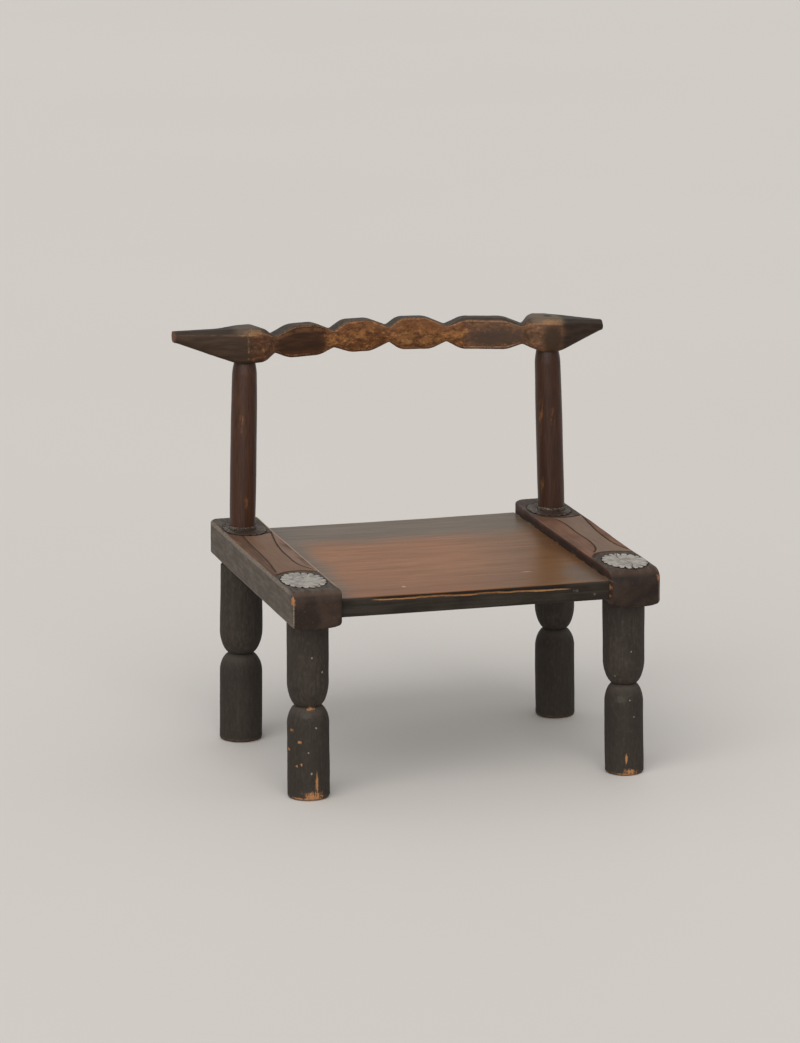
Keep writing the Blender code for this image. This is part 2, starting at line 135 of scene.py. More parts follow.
# Posts
POST_MIDDLE_RADIUS = by_side(0.0179, 0.0184)
POST_FOOT_RADIUS = by_side(0.0170, 0.0181)
POST_SHOULDER_RADIUS = by_side(0.0168, 0.0177)
POST_TOP_RADIUS = by_side(0.0140, 0.0152)
POST_SHOULDER_DROP = 0.018  # from the post's top down to its shoulder
POST_SHOULDER_POWER = 1.5  # 1 gives a cone above the shoulder, more a rounder one
POST_TENON_DROP = 0.001  # the post's end lies this far under the top of its head
POST_SIDES = 64

# Rails
RAIL_GRID = 0.0009  # spacing of the points on the top, fine enough for the cut lines
RAIL_ROUND = {  # rounding of the upright corners
    "left": {"front_inner": 0.005, "front_outer": 0.006, "rear_inner": 0.016, "rear_outer": 0.020},
    "right": {"front_inner": 0.008, "front_outer": 0.006, "rear_inner": 0.030, "rear_outer": 0.020},
}
RAIL_FRONT_TOP_ROUND = by_side(0.014, 0.021)
RAIL_REAR_RISE = 0.0015
RAIL_BOW = by_side(0.0, 0.0020)  # how far the outer side swells out behind its middle
RAIL_BOW_MIDDLE = 0.09
RAIL_BOW_REACH = 0.12
RAIL_BELLY = 0.0050  # the underside hangs this much lower near the front
RAIL_BELLY_LENGTH = 0.12
RAIL_BELLY_POWER = 4  # more keeps the belly full nearer to the rail's sides
RAIL_END_STEPS = 12
RAIL_SIDE_STEPS = 18
RAIL_REAR_TOP_ROUND = 0.005
RAIL_BOTTOM_ROUND = 0.004
RAIL_ARRIS = {"top_outer": 0.0030, "top_inner": 0.0014, "bottom_inner": 0.0030, "bottom_outer": 0.0030}
LINE_CUTS = {"arc": (0.0065, 0.0020), "line": (0.0030, 0.0014)}  # width and depth
LINE_RESOLUTION = 24
LINE_WOBBLE = (160, 160, 160)  # the width wanders with this noise
LINE_FLANK = (1.0, 0.15)  # a cut falls from its rim to its floor between these shares of its half width
LINE_FACES = (0.3, 0.6)  # lines are cut into faces that point up more than this

# Lines cut into the rail tops: (across, along) from the rail's middle, across growing outwards
RAIL_LINES = {
    "left": {
        "front_arc": ((0.0262, -0.1160), (0.0080, -0.1032), (-0.0096, -0.1013), (-0.0327, -0.1110)),
        "rear_arc": ((0.0260, 0.1290), (0.0079, 0.1190), (-0.0046, 0.1162), (-0.0295, 0.1260)),
        "inner_line": (
            (-0.0294, 0.1229), (-0.0183, 0.0458), (-0.0156, -0.0170), (-0.0183, -0.0685), (-0.0280, -0.0990),
        ),
        "outer_line": (
            (0.0120, 0.1150), (0.0147, 0.0676), (0.0160, -0.0018), (0.0181, -0.0520), (0.0222, -0.1000),
        ),
    },
    "right": {
        "front_arc": (
            (-0.0288, -0.1328), (-0.0190, -0.1150), (-0.0048, -0.1066), (0.0130, -0.1080), (0.0296, -0.1167),
        ),
        "rear_arc": ((-0.0200, 0.1160), (-0.0099, 0.1075), (0.0077, 0.1016), (0.0324, 0.1107)),
        "inner_line": (
            (-0.0090, 0.0960), (-0.0065, 0.0835), (-0.0056, 0.0100), (-0.0059, -0.0545), (-0.0118, -0.0895),
            (-0.0191, -0.1055),
        ),
        "outer_line": (
            (0.0322, 0.1011), (0.0270, 0.0546), (0.0220, -0.0255), (0.0238, -0.0754), (0.0304, -0.1017),
        ),
    },
}

# Seat board
BOARD_GRID = 0.0030
BOARD_EDGE_GRID = 0.0008
BOARD_UNDER_STEPS = 40
BOARD_REAR_STEPS = 10
BOARD_ARRIS = {"rear_top": 0.003, "front_top": 0.003, "front_bottom": 0.002, "rear_bottom": 0.002}
BOARD_DISH = 0.0008  # the top is worn this much lower in its middle
SPLIT_START = (-0.1363, 0.0036)  # from the board's middle, and how far under the top the split lies there
SPLIT_END = (0.1237, 0.0064)
SPLIT_HEIGHT = 0.0022
SPLIT_DEPTH = 0.0012
SPLIT_POWER = 4  # more keeps the split deep nearer to its ends

# Crest rail
CREST_STEP = 0.0016
CREST_BOW = 0.028
CREST_ARCH = 0.003
CREST_ARCH_POWER = 3  # more draws the arch together over the middle
CREST_SOFTNESS = 0.0055  # corners of the outline are softened over this length, and less near the necks
NECK_SOFTNESS = 0.0016
NECK_SOFTNESS_REACH = 0.012
SOFTENING_OFFSETS = (-1, -0.5, 0, 0.5, 1)
NECK_SHARES = (-0.812, -0.405, -0.030, 0.350, 0.840)  # places of the necks, -1 and 1 at the posts
HEAD_HEIGHT = 0.0465
HEAD_DEPTH = 0.044
HEAD_CHAMFER = 0.0075
HEAD_TOP_INNER = by_side(0.020, 0.024)  # how far a head reaches from its post's axis
HEAD_FOOT_INNER = by_side(0.020, 0.008)
HEAD_FOOT_OUTER = by_side(0.015, 0.011)
HEAD_FRONT_OUTER = by_side(-0.004, 0.018)
HEAD_BACK_OUTER = by_side(0.008, 0.010)
HORN_ROOT = 0.034  # from the post's axis to where the horn is free of the head
HORN_ROOT_BACK = by_side(0.007, 0.018)
HORN_REACH = by_side(0.0986, 0.0773)
HORN_DROOP = by_side(0.0028, 0.0085)
HORN_TIP_HEIGHT = by_side(0.0135, 0.0120)
HORN_TIP_DEPTH = 0.014
HORN_TIP_CHAMFER = 0.004
LOBE_HEIGHT = 0.0435
LOBE_DEPTH = 0.029
LOBE_TOP_SLOPES = ((0.027, 0.026), (0.018, 0.027), (0.016, 0.028), (0.024, 0.025))  # left and right of each
LOBE_FOOT_SLOPES = ((0.020, 0.021), (0.024, 0.026), (0.015, 0.022), (0.020, 0.022))
LOBE_CHAMFERS = (0.0014, 0.0012, 0.0005, 0.0039)
NECK_CHAMFER = 0.0012
LOBE_TOP_FALL = 0.001  # a lobe's top falls this much towards its back
NECK_HEIGHTS = (0.0225, 0.0225, 0.0203, 0.0209, 0.0250)
NECK_DROPS = (0.0020, 0.0017, 0.0006, 0.0008, 0.0015)  # how far a neck lies under the middle of the height
NECK_DEPTH = 0.027
CREST_BACK_CHAMFER = 0.004
CREST_FOOT_CHAMFER = 0.003
CHAMFER_LIMIT = 0.2  # a chamfer takes at most this share of the section's shorter side
FRONT_CHAMFER_LIMIT = 1.6  # the front one may be this many times that limit
CREST_BULGE = 0.0012  # how far the front and back faces swell out
CREST_SIDE_STEPS = (3, 12, 3, 10, 3, 12, 3, 10)  # round a section from its front foot chamfer
CREST_FRONT = 1  # places of the two faces among those sides
CREST_BACK = 5

# Tin
TIN_TEETH = 19
TIN_TOOTH_DEPTH = {"plate": 0.0074, "collar": 0.0030}
TIN_TOOTH_POWER = 4.0  # more makes the teeth broader and the gaps between them narrower
TIN_TOOTH_WANDER = 0.030  # how unevenly the teeth are spread
TIN_RIM_WEAR = 0.004
TIN_UNEVEN_NOISE = (2.5, 2.5, 2.5)
TIN_CHANCE_NOISE = (7, 7, 7)  # decides which gaps between teeth are deep, and which are nearly gone
TIN_CHANCE_GAIN = 5.0
TIN_CHANCE_LOSS = 1.5
TIN_SHALLOWEST_GAP = 0.06
TIN_CREASE_NOISE = (95, 95, 95)
TIN_CREASE_START = 0.2  # the creases are full from this share of the sheet outwards
TIN_END_INSET = 1.5  # gaps between teeth are this much deeper at the two ends of the oval
TIN_THICKNESS = 0.0008
TIN_LIFT = 0.0003
TIN_CRUMPLE = {"plate": 0.0014, "collar": 0.0024}
TIN_RECESS = 0.0012
TIN_RECESS_GAP = 0.0012
TIN_RECESS_STEEPNESS = 30
TIN_SLEEVE_SHARE = 0.12  # share of the sheet's rings that turn up round the post
TIN_SEAM = 0.00001
RECESS_RIM = 0.97  # where the painted shadow round a recess lies, 1 at the recess's edge
RECESS_RIM_WIDTH = 0.06
# how strong the painted shadow is round each kind of tin
RECESS_SHADOW_STRENGTH = {"plate": 1.0, "collar": 0.3}
COLLAR_GAP = 0.0006
COLLAR_SLEEVE = 0.0058
TIN_STEPS_PER_TOOTH = 12
TIN_RINGS = 30

# Marks on legs and posts: (across, height, half width, half height), across from -1 to 1 for the camera
LEG_MARKS = {
    "front_left": {
        "chip": (
            (0.20, 0.1228, 0.0044, 0.0030),
            (-0.77, 0.0940, 0.0028, 0.0022),
            (-0.39, 0.0797, 0.0024, 0.0020),
            (-0.91, 0.0670, 0.0026, 0.0024),
            (-0.54, 0.0470, 0.0022, 0.0020),
            (-0.30, 0.0495, 0.0018, 0.0018),
            (0.42, 0.0240, 0.0022, 0.0120),
            (0.24, 0.0050, 0.0130, 0.0068),
            (-0.45, 0.0030, 0.0100, 0.0013),
        ),
        "speck": (
            (0.22, 0.1925, 0.0014, 0.0014),
            (0.70, 0.1720, 0.0014, 0.0016),
            (0.40, 0.0985, 0.0014, 0.0014),
            (0.03, 0.0656, 0.0014, 0.0014),
            (0.17, 0.0375, 0.0014, 0.0016),
        ),
        "smudge": ((-0.07, 0.1150, 0.0070, 0.0050),),
    },
    "front_right": {
        "chip": (
            (0.28, 0.0062, 0.0085, 0.0032),
            (0.05, 0.0026, 0.0160, 0.0011),
            (0.08, 0.0235, 0.0016, 0.0060),
        ),
        "speck": (
            (0.28, 0.1038, 0.0011, 0.0011),
            (0.48, 0.0807, 0.0011, 0.0011),
            (-0.50, 0.1365, 0.0011, 0.0011),
            (0.33, 0.1705, 0.0011, 0.0014),
        ),
        "smudge": ((-0.17, 0.1050, 0.0075, 0.0060),),
    },
}
LEG_MARK_TONES = {"smudge": (0.052, 0.044, 0.033), "speck": (0.26, 0.21, 0.165), "chip": (0.38, 0.175, 0.066)}
LEG_MARK_RAGGEDNESS = {"smudge": 2.2, "speck": 1.6, "chip": 2.2}
LEG_CHIP_STREAKS = 2.6  # how far the fibres break up a chip
LEG_MARK_STRENGTH = 0.85
LEG_FLECKS = by_corner(0.7, 0.35, 0.0, 0.15)
POST_MARKS = {
    "left": ((-0.18, 0.4345, 0.0050, 0.0130), (0.29, 0.3270, 0.0045, 0.0080)),
    "right": (
        (-0.65, 0.4170, 0.0050, 0.0290),
        (0.26, 0.4200, 0.0040, 0.0120),
        (-0.62, 0.3230, 0.0050, 0.0110),
    ),
}

# Colours of the rail tops: the ends round the tin, the bands beside the long lines, the panel between them
RAIL_TONES = {
    "left": {
        "end_grain": 0.88,
        "end_dark": (0.050, 0.037, 0.027),
        "end_light": (0.108, 0.087, 0.065),
        "band_dark": (0.085, 0.045, 0.026),
        "band_light": (0.170, 0.090, 0.052),
        "panel_dark": (0.138, 0.072, 0.038),
        "panel_light": (0.182, 0.102, 0.058),
        "outer_arris": (0.190, 0.150, 0.115),
        "inner_band": 0.8,
        "inner_wear": 0.85,
        "corner_chip": 0.9,
        "corner_line": 0.9,
        "joint_chips": 0.0,
    },
    "right": {
        "end_grain": 0.62,
        "end_dark": (0.044, 0.028, 0.019),
        "end_light": (0.088, 0.063, 0.046),
        "band_dark": (0.105, 0.049, 0.027),
        "band_light": (0.190, 0.090, 0.048),
        "panel_dark": (0.142, 0.081, 0.048),
        "panel_light": (0.188, 0.116, 0.073),
        "outer_arris": (0.105, 0.075, 0.055),
        "inner_band": 0.15,
        "inner_wear": 0.0,
        "corner_chip": 0.6,
        "corner_line": 0.3,
        "joint_chips": 0.8,
    },
}
POST_TONE = by_side(1.0, 0.84)
# how far the painted shade along a crease in each plate wanders across
PLATE_CREASE_SHADE = by_side(0.0140, 0.0035)
COLLAR_GREEN = by_side(0.2, 0.8)


class Wire:
    """An output of a node. Python's operators on it add Math nodes to its tree."""

    def __init__(self, board, socket):
        self.board = board
        self.socket = socket

    def math(self, operation, first, second=0.0):
        return self.board.node("ShaderNodeMath", {"operation": operation}, {0: first, 1: second})

    def __add__(self, other):
        return self.math("ADD", self, other)

    def __sub__(self, other):
        return self.math("SUBTRACT", self, other)

    def __rsub__(self, other):
        return self.math("SUBTRACT", other, self)

    def __mul__(self, other):
        return self.math("MULTIPLY", self, other)

    def __truediv__(self, other):
        return self.math("DIVIDE", self, other)

    def __neg__(self):
        return self * -1.0

    def __pow__(self, other):
        return self.math("POWER", self, other)

    def __mod__(self, other):
        return self.math("FLOORED_MODULO", self, other)

    __radd__ = __add__
    __rmul__ = __mul__

    def size(self):
        return self.math("ABSOLUTE", self)

    def above(self, limit):
        return self.math("MAXIMUM", self, limit)

    def below(self, limit):
        return self.math("MINIMUM", self, limit)

    def cosine(self):
        return self.math("COSINE", self)

    def sine(self):
        return self.math("SINE", self)

    def fade(self, start, end):
        """0 at start and before it, 1 at end and after it, smooth between them."""
        return self.board.node(
            "ShaderNodeMapRange",
            {"interpolation_type": "SMOOTHSTEP"},
            {"Value": self, "From Min": start, "From Max": end},
        )

    def window(self, start, end, softness):
        """1 between start and end, 0 outside them."""
        return self.fade(start - softness, start + softness) * self.fade(end + softness, end - softness)

    def mix(self, share, tone):
        """This colour where the share is 0, the tone where it is 1."""
        return self.board.mix(share, self, tone)


class NodeBoard:
    """The nodes of one tree. Each of them comes from the node method."""

    def __init__(self, tree):
        self.tree = tree

    def node(self, kind, settings=None, inputs=None, output=0):
        made = self.tree.nodes.new(kind)
        for name, value in (settings or {}).items():
            setattr(made, name, value)
        for name, value in (inputs or {}).items():
            if isinstance(value, Wire):
                self.tree.links.new(value.socket, made.inputs[name])
            else:
                made.inputs[name].default_value = value
        return Wire(self, made.outputs[output])

    def vector(self, operation, first, second):
        return self.node("ShaderNodeVectorMath", {"operation": operation}, {0: first, 1: second})

    def length(self, vector):
        return self.node("ShaderNodeVectorMath", {"operation": "LENGTH"}, {0: vector}, "Value")

    def scaled(self, vector, factor):
        return self.node("ShaderNodeVectorMath", {"operation": "SCALE"}, {0: vector, "Scale": factor})

    def parts(self, vector):
        return [self.node("ShaderNodeSeparateXYZ", None, {0: vector}, axis) for axis in range(3)]

    def joined(self, x, y, z):
        return self.node("ShaderNodeCombineXYZ", None, {0: x, 1: y, 2: z})

    def mix(self, share, first, second):
        """The first colour where the share is 0, the second where it is 1."""
        colours = [value if isinstance(value, Wire) else (*value, 1.0) for value in (first, second)]
        return self.node("ShaderNodeMix", {"data_type": "RGBA"}, {0: share, 6: colours[0], 7: colours[1]}, 2)

    def noise_at(self, place, frequency, detail=3.0, roughness=0.55, distortion=0.0):
        """Noise from 0 to 1. The frequency, in features for each metre, is one number for each axis."""
        return self.node(
            "ShaderNodeTexNoise",
            None,
            {
                "Vector": self.vector("MULTIPLY", place, frequency),
                "Scale": 1.0,
                "Detail": detail,
                "Roughness": roughness,
                "Distortion": distortion,
            },
        )


class Finish(NodeBoard):
    """A material on Object coordinates."""

    def __init__(self, name, specular):
        self.material = bpy.data.materials.new(name)
        self.material.use_nodes = True
        super().__init__(self.material.node_tree)
        self.shader = self.tree.nodes["Principled BSDF"]
        self.shader.inputs["Specular IOR Level"].default_value = specular
        self.place = self.node("ShaderNodeTexCoord", output="Object")
        self.x, self.y, self.z = self.parts(self.place)
        self.ragged = self.noise_at(self.place, *RAGGED_NOISE) - 0.5
        self.crumbs = self.noise_at(self.place, *CRUMB_NOISE) - 0.5

    def noise(self, frequency, detail=3.0, roughness=0.55, distortion=0.0):
        if not isinstance(frequency, tuple):
            frequency = (frequency, frequency, frequency)
        return self.noise_at(self.place, frequency, detail, roughness, distortion)

    def attribute(self, name):
        return self.node("ShaderNodeAttribute", {"attribute_name": name}, output="Fac")

    def layered(self, colour, *layers):
        """A colour under layers of (share, tone), the last of them on top."""
        for share, tone in layers:
            colour = colour.mix(share, tone)
        return colour

    def line(self, distance, half_width):
        """1 on a line with a ragged edge, from the distance to it."""
        return (distance.size() + self.ragged * half_width).fade(half_width, half_width * LINE_CORE)

    def patch(self, middle, half_size, raggedness, streaks=None):
        """1 inside an oval patch with a ragged rim, 0 outside it. The streaks add to the raggedness."""
        offset = self.vector("SUBTRACT", self.place, tuple(middle))
        distance = self.length(self.vector("DIVIDE", offset, half_size))
        if streaks is not None:
            distance = distance + streaks
        return (distance + (self.ragged + self.crumbs) * raggedness).fade(*PATCH_RIM)

    def facing(self):
        """The surface's direction as its three parts."""
        return self.parts(self.node("ShaderNodeNewGeometry", output="Normal"))

    def paint(self, colour, roughness, height=None, depth=0.0):
        links = self.tree.links
        links.new(colour.socket, self.shader.inputs["Base Color"])
        if isinstance(roughness, Wire):
            links.new(roughness.socket, self.shader.inputs["Roughness"])
        else:
            self.shader.inputs["Roughness"].default_value = roughness
        if height:
            bump = self.node("ShaderNodeBump", None, {"Height": height, "Distance": depth}, "Normal")
            links.new(bump.socket, self.shader.inputs["Normal"])
        return self.material


class Shaping(NodeBoard):
    """A geometry tree whose inputs have names. It ends in Realize Instances and Set Material."""

    def __init__(self, name, **inputs):
        tree = bpy.data.node_groups.new(name, "GeometryNodeTree")
        tree.is_modifier = True
        super().__init__(tree)
        self.identifiers = {}
        for label, kind in {"Geometry": "Geometry", **inputs, "Material": "Material"}.items():
            socket = tree.interface.new_socket(label, in_out="INPUT", socket_type=f"NodeSocket{kind}")
            self.identifiers[label] = socket.identifier
        tree.interface.new_socket("Geometry", in_out="OUTPUT", socket_type="NodeSocketGeometry")
        self.entry = tree.nodes.new("NodeGroupInput")

    def given(self, label):
        return Wire(self, self.entry.outputs[label])

    def place(self):
        return self.node("GeometryNodeInputPosition")

    def moved(self, geometry, offset):
        return self.node("GeometryNodeSetPosition", None, {"Geometry": geometry, "Offset": offset})

    def stored(self, geometry, name, value):
        settings = {"data_type": "FLOAT", "domain": "POINT"}
        inputs = {"Geometry": geometry, "Name": name, "Value": value}
        return self.node("GeometryNodeStoreNamedAttribute", settings, inputs)

    def close(self, geometry):
        real = self.node("GeometryNodeRealizeInstances", None, {"Geometry": geometry})
        look = self.given("Material")
        dressed = self.node("GeometryNodeSetMaterial", None, {"Geometry": real, "Material": look})
        leaving = self.tree.nodes.new("NodeGroupOutput")
        self.tree.links.new(dressed.socket, leaving.inputs["Geometry"])
        return self

    def shape(self, obj, **values):
        """Runs the tree on an object and keeps the result as its plain mesh."""
        modifier = obj.modifiers.new(self.tree.name, "NODES")
        modifier.node_group = self.tree
        for label, value in values.items():
            modifier[self.identifiers[label]] = value
        evaluated = obj.evaluated_get(bpy.context.evaluated_depsgraph_get())
        mesh = bpy.data.meshes.new_from_object(evaluated)
        obj.modifiers.remove(modifier)
        obj.data = mesh
        return obj


def hand_worked_tree():
    """Shallow hollows of the adze and raised fibres, along the surface's own direction."""
    inputs = {"Hollows": "Vector", "HollowDepth": "Float", "Fibres": "Vector", "FibreDepth": "Float"}
    shaping = Shaping("hand_worked", **inputs)
    place = shaping.place()
    hollows = shaping.noise_at(place, shaping.given("Hollows"), 2.0) - 0.5
    fibres = shaping.noise_at(place, shaping.given("Fibres"), 3.0, 0.6) - 0.5
    height = hollows * shaping.given("HollowDepth") + fibres * shaping.given("FibreDepth")
    normal = shaping.node("GeometryNodeInputNormal")
    return shaping.close(shaping.moved(shaping.given("Geometry"), shaping.scaled(normal, height)))


def cut_lines_tree():
    """Cuts round-bottomed lines into upward faces and stores how deep each point lies in a line."""
    shaping = Shaping("cut_lines", Lines="Object", Label="String", Width="Float", Depth="Float")
    given = shaping.given
    relative = {"transform_space": "RELATIVE"}
    lines = shaping.node("GeometryNodeObjectInfo", relative, {"Object": given("Lines")}, "Geometry")
    path = shaping.node("GeometryNodeCurveToMesh", None, {"Curve": lines})
    edges = {"target_element": "EDGES"}
    distance = shaping.node("GeometryNodeProximity", edges, {"Geometry": path}, "Distance")
    wobble = shaping.noise_at(shaping.place(), LINE_WOBBLE, 2.0) - 0.5
    half_width = given("Width") * (wobble * 0.5 + 0.5)
    upward = shaping.parts(shaping.node("GeometryNodeInputNormal"))[2]
    cut = (distance / half_width).fade(*LINE_FLANK) * upward.fade(*LINE_FACES)
    marked = shaping.stored(given("Geometry"), given("Label"), cut)
    return shaping.close(shaping.moved(marked, shaping.joined(0.0, 0.0, -cut * given("Depth"))))


def toothed_tin_tree():
    """A crumpled oval sheet with pointed teeth, made in the plane from a grid of turns and rings. A hole
    takes the post, and the sheet's inner rim is turned up round it."""
    places = ("Middle", "HoleMiddle")
    sizes = ("HalfWidth", "HalfLength", "HoleRadius", "SleeveHeight", "ToothDepth", "Crumple", "Chance")
    inputs = {**dict.fromkeys(places, "Vector"), **dict.fromkeys(sizes, "Float")}
    shaping = Shaping("toothed_tin", **inputs)
    given = shaping.given
    turns = TIN_TEETH * TIN_STEPS_PER_TOOTH + 1
    counts = {"Size X": 1.0, "Size Y": 1.0, "Vertices X": turns, "Vertices Y": TIN_RINGS}
    grid = shaping.node("GeometryNodeMeshGrid", None, counts)
    across, along, _ = shaping.parts(shaping.place())
    turn = across * math.tau
    share = along + 0.5

    on_circle = shaping.joined(turn.cosine(), turn.sine(), 0.0)
    uneven = shaping.noise_at(on_circle, TIN_UNEVEN_NOISE, 2.0) - 0.5
    on_circle = shaping.joined(turn.cosine(), turn.sine(), given("Chance"))
    chance = shaping.noise_at(on_circle, TIN_CHANCE_NOISE, 1.0)
    tooth = (((across + uneven * TIN_TOOTH_WANDER) * TIN_TEETH) % 1.0 - 0.5).size() * 2.0
    kept = (chance * TIN_CHANCE_GAIN - TIN_CHANCE_LOSS).above(TIN_SHALLOWEST_GAP)
    inset = tooth**TIN_TOOTH_POWER * given("ToothDepth") * kept + uneven.size() * TIN_RIM_WEAR
    rim_x = (given("HalfWidth") - inset) * turn.cosine()
    rim_y = (given("HalfLength") - inset * TIN_END_INSET) * turn.sine()
    rim = shaping.vector("ADD", shaping.joined(rim_x, rim_y, 0.0), given("Middle"))

    hole = shaping.joined(turn.cosine() * given("HoleRadius"), turn.sine() * given("HoleRadius"), 0.0)
    hole_rim = shaping.vector("ADD", hole, given("HoleMiddle"))
    spread = ((share - TIN_SLEEVE_SHARE) / (1 - TIN_SLEEVE_SHARE)).above(0.0)
    sheet = shaping.vector("ADD", shaping.scaled(hole_rim, 1.0 - spread), shaping.scaled(rim, spread))
    lift = (1.0 - share.fade(0.0, TIN_SLEEVE_SHARE)) * given("SleeveHeight")
    crease = shaping.noise_at(sheet, TIN_CREASE_NOISE, 3.0, 0.6, 1.5) - 0.5
    height = lift + crease * given("Crumple") * spread.fade(0.0, TIN_CREASE_START)
    raised = shaping.vector("ADD", sheet, shaping.joined(0.0, 0.0, height))
    placed = shaping.node("GeometryNodeSetPosition", None, {"Geometry": grid, "Position": raised})
    marked = shaping.stored(placed, "spread", spread)
    merged = shaping.node("GeometryNodeMergeByDistance", None, {"Geometry": marked, "Distance": TIN_SEAM})
    return shaping.close(merged)


def middle_of(node):
    low, high = node_box(node)
    return (low + high) / 2


def axis_of(node):
    """The middles of a turned solid's two ends, the lower one first."""
    points = [vertex.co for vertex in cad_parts[node].data.vertices]
    heights = [point.z for point in points]
    ends = []
    for level in (min(heights), max(heights)):
        ring = [point for point in points if abs(point.z - level) < RIM_SLACK]
        xs = [point.x for point in ring]
        ys = [point.y for point in ring]
        ends.append(Vector(((min(xs) + max(xs)) / 2, (min(ys) + max(ys)) / 2, level)))
    return ends


def on_axis(ends, height):
    low, high = ends
    return low + (high - low) * (height - low.z) / (high.z - low.z)


def loft(name, rings, marks=None):
    """A closed piece through rings that have the same count of points. The ends close on their middles.
    Each of the marks has a name and one value for each point of a ring, and becomes an attribute."""
    count = len(rings[0])
    points = [Vector(point) for ring in rings for point in ring]
    faces = []
    for start in range(0, count * (len(rings) - 1), count):
        for step in range(count):
            after = (step + 1) % count
            faces.append((start + step, start + after, start + count + after, start + count + step))
    for start in (0, count * (len(rings) - 1)):
        ring = range(start, start + count)
        points.append(sum((points[index] for index in ring), Vector()) / count)
        faces += [(index, start + (index - start + 1) % count, len(points) - 1) for index in ring]
    mesh = bpy.data.meshes.new(name)
    mesh.from_pydata(points, [], faces)
    for label, values in (marks or {}).items():
        stored = mesh.attributes.new(label, "FLOAT", "POINT").data
        stored.foreach_set("value", list(values) * len(rings) + [0.0, 0.0])
    shape = bmesh.new()
    shape.from_mesh(mesh)
    bmesh.ops.recalc_face_normals(shape, faces=shape.faces)
    shape.to_mesh(mesh)
    shape.free()
    return linked(name, mesh)


def mark(obj, label, rule):
    """Stores an attribute that follows from each point's place."""
    values = [rule(vertex.co) for vertex in obj.data.vertices]
    obj.data.attributes.new(label, "FLOAT", "POINT").data.foreach_set("value", values)


def linked(name, mesh):
    obj = bpy.data.objects.new(name, mesh)
    bpy.context.scene.collection.objects.link(obj)
    return obj


def shaded(obj):
    obj.data.shade_smooth()
    obj.data.set_sharp_from_angle(angle=SHARP_ANGLE)
    return obj


def shrunk(ring, shares):
    """Rings inside a ring, which fill the end of a block."""
    middle = sum((Vector(point) for point in ring), Vector()) / len(ring)
    return [[middle + (Vector(point) - middle) * share for point in ring] for share in shares]


def capped(rings, kind):
    """The rings of a block, with smaller rings that fill its two ends."""
    first_shares, last_shares = END_SHARES[kind]
    return shrunk(rings[0], first_shares)[::-1] + rings + shrunk(rings[-1], last_shares)


def on_corners(corners, *chosen):
    """1 for each point of a ring that lies on one of the chosen corners, 0 for the others."""
    return [1.0 if corner in chosen else 0.0 for corner in corners]


def partway(start, end, share):
    """The point at this share of the way from start to end."""
    return tuple(first + (second - first) * share for first, second in zip(start, end))


def handed_in(obj, node):
    """Attaches a finished piece to the root body and hides the solid that it stands for."""
    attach(obj, "root")
    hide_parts(node)
    return obj


def steps(start, end, longest):
    """Evenly spaced values from start to end, at most this far apart."""
    count = max(1, math.ceil(abs(end - start) / longest))
    return [start + (end - start) * step / count for step in range(count + 1)]


def circle(middle, radius, sides):
    x, y, z = middle
    turns = [math.tau * step / sides for step in range(sides)]
    return [(x + radius * math.cos(turn), y + radius * math.sin(turn), z) for turn in turns]


def leg_radius(corner, height):
    """A leg is two drums that round in to a V neck. Its foot is worn and its top tapers a little."""
    low, high = node_box(f"{corner}_leg")
    full = (high.x - low.x) / 2
    away = height - LEG_NECK_HEIGHT[corner]
    radius = full * (LEG_UPPER_DRUM[corner] if away > 0 else LEG_LOWER_DRUM[corner])
    share = min(abs(away) / (LEG_UPPER_ROUND if away > 0 else LEG_LOWER_ROUND), 1.0)
    swell = (1 - (1 - share) ** LEG_ROUND_POWER) ** (1 / LEG_ROUND_POWER)
    neck = LEG_NECK_SHARE[corner] * full
    foot = max(0.0, 1 - height / LEG_FOOT_ROUND)
    narrowing = LEG_TOP_TAPER[corner] * max(0.0, 2 * height / leg_top(corner) - 1) ** 2
    return neck + (radius - neck) * swell - LEG_FOOT_ROUND * (1 - math.sqrt(1 - foot * foot)) - narrowing


def side_of(corner):
    return corner.split("_")[1]


def leg_top(corner):
    return node_box(f"{side_of(corner)}_rail")[0].z


def leg_axis(corner, height):
    """The middle of a leg at a height. The legs spread a little towards their feet."""
    middle = middle_of(f"{corner}_leg")
    outward = SIDES[side_of(corner)] * LEG_SPLAY[corner]
    return Vector((middle.x + outward * (0.5 - height / leg_top(corner)), middle.y, height))


def leg(corner, tree, look):
    node = f"{corner}_leg"
    neck = LEG_NECK_HEIGHT[corner]
    heights = steps(0.0, LEG_FOOT_ROUND, LEG_FOOT_ROUND / LEG_FOOT_STEPS)
    heights += steps(LEG_FOOT_ROUND, neck, TURNED_RING_STEP)[1:]
    heights += steps(neck, leg_top(corner), TURNED_RING_STEP)[1:]
    rings = [circle(leg_axis(corner, height), leg_radius(corner, height), TURNED_SIDES) for height in heights]
    piece = loft(f"{node}_carved", capped(rings, "leg"))
    tree.shape(piece, **HAND_WORK["leg"], Material=look)
    return handed_in(shaded(piece), node)


def post_radius(side, height, foot, top):
    """A slim post that swells at mid height and narrows from its shoulder to its top."""
    shoulder_radius = POST_SHOULDER_RADIUS[side]
    shoulder = top - POST_SHOULDER_DROP
    if height > shoulder:
        share = (height - shoulder) / POST_SHOULDER_DROP
        return shoulder_radius + (POST_TOP_RADIUS[side] - shoulder_radius) * share**POST_SHOULDER_POWER
    end_radius = POST_FOOT_RADIUS[side] if height < (foot + shoulder) / 2 else shoulder_radius
    away = (2 * height - foot - shoulder) / (shoulder - foot)
    return POST_MIDDLE_RADIUS[side] + (end_radius - POST_MIDDLE_RADIUS[side]) * away * away


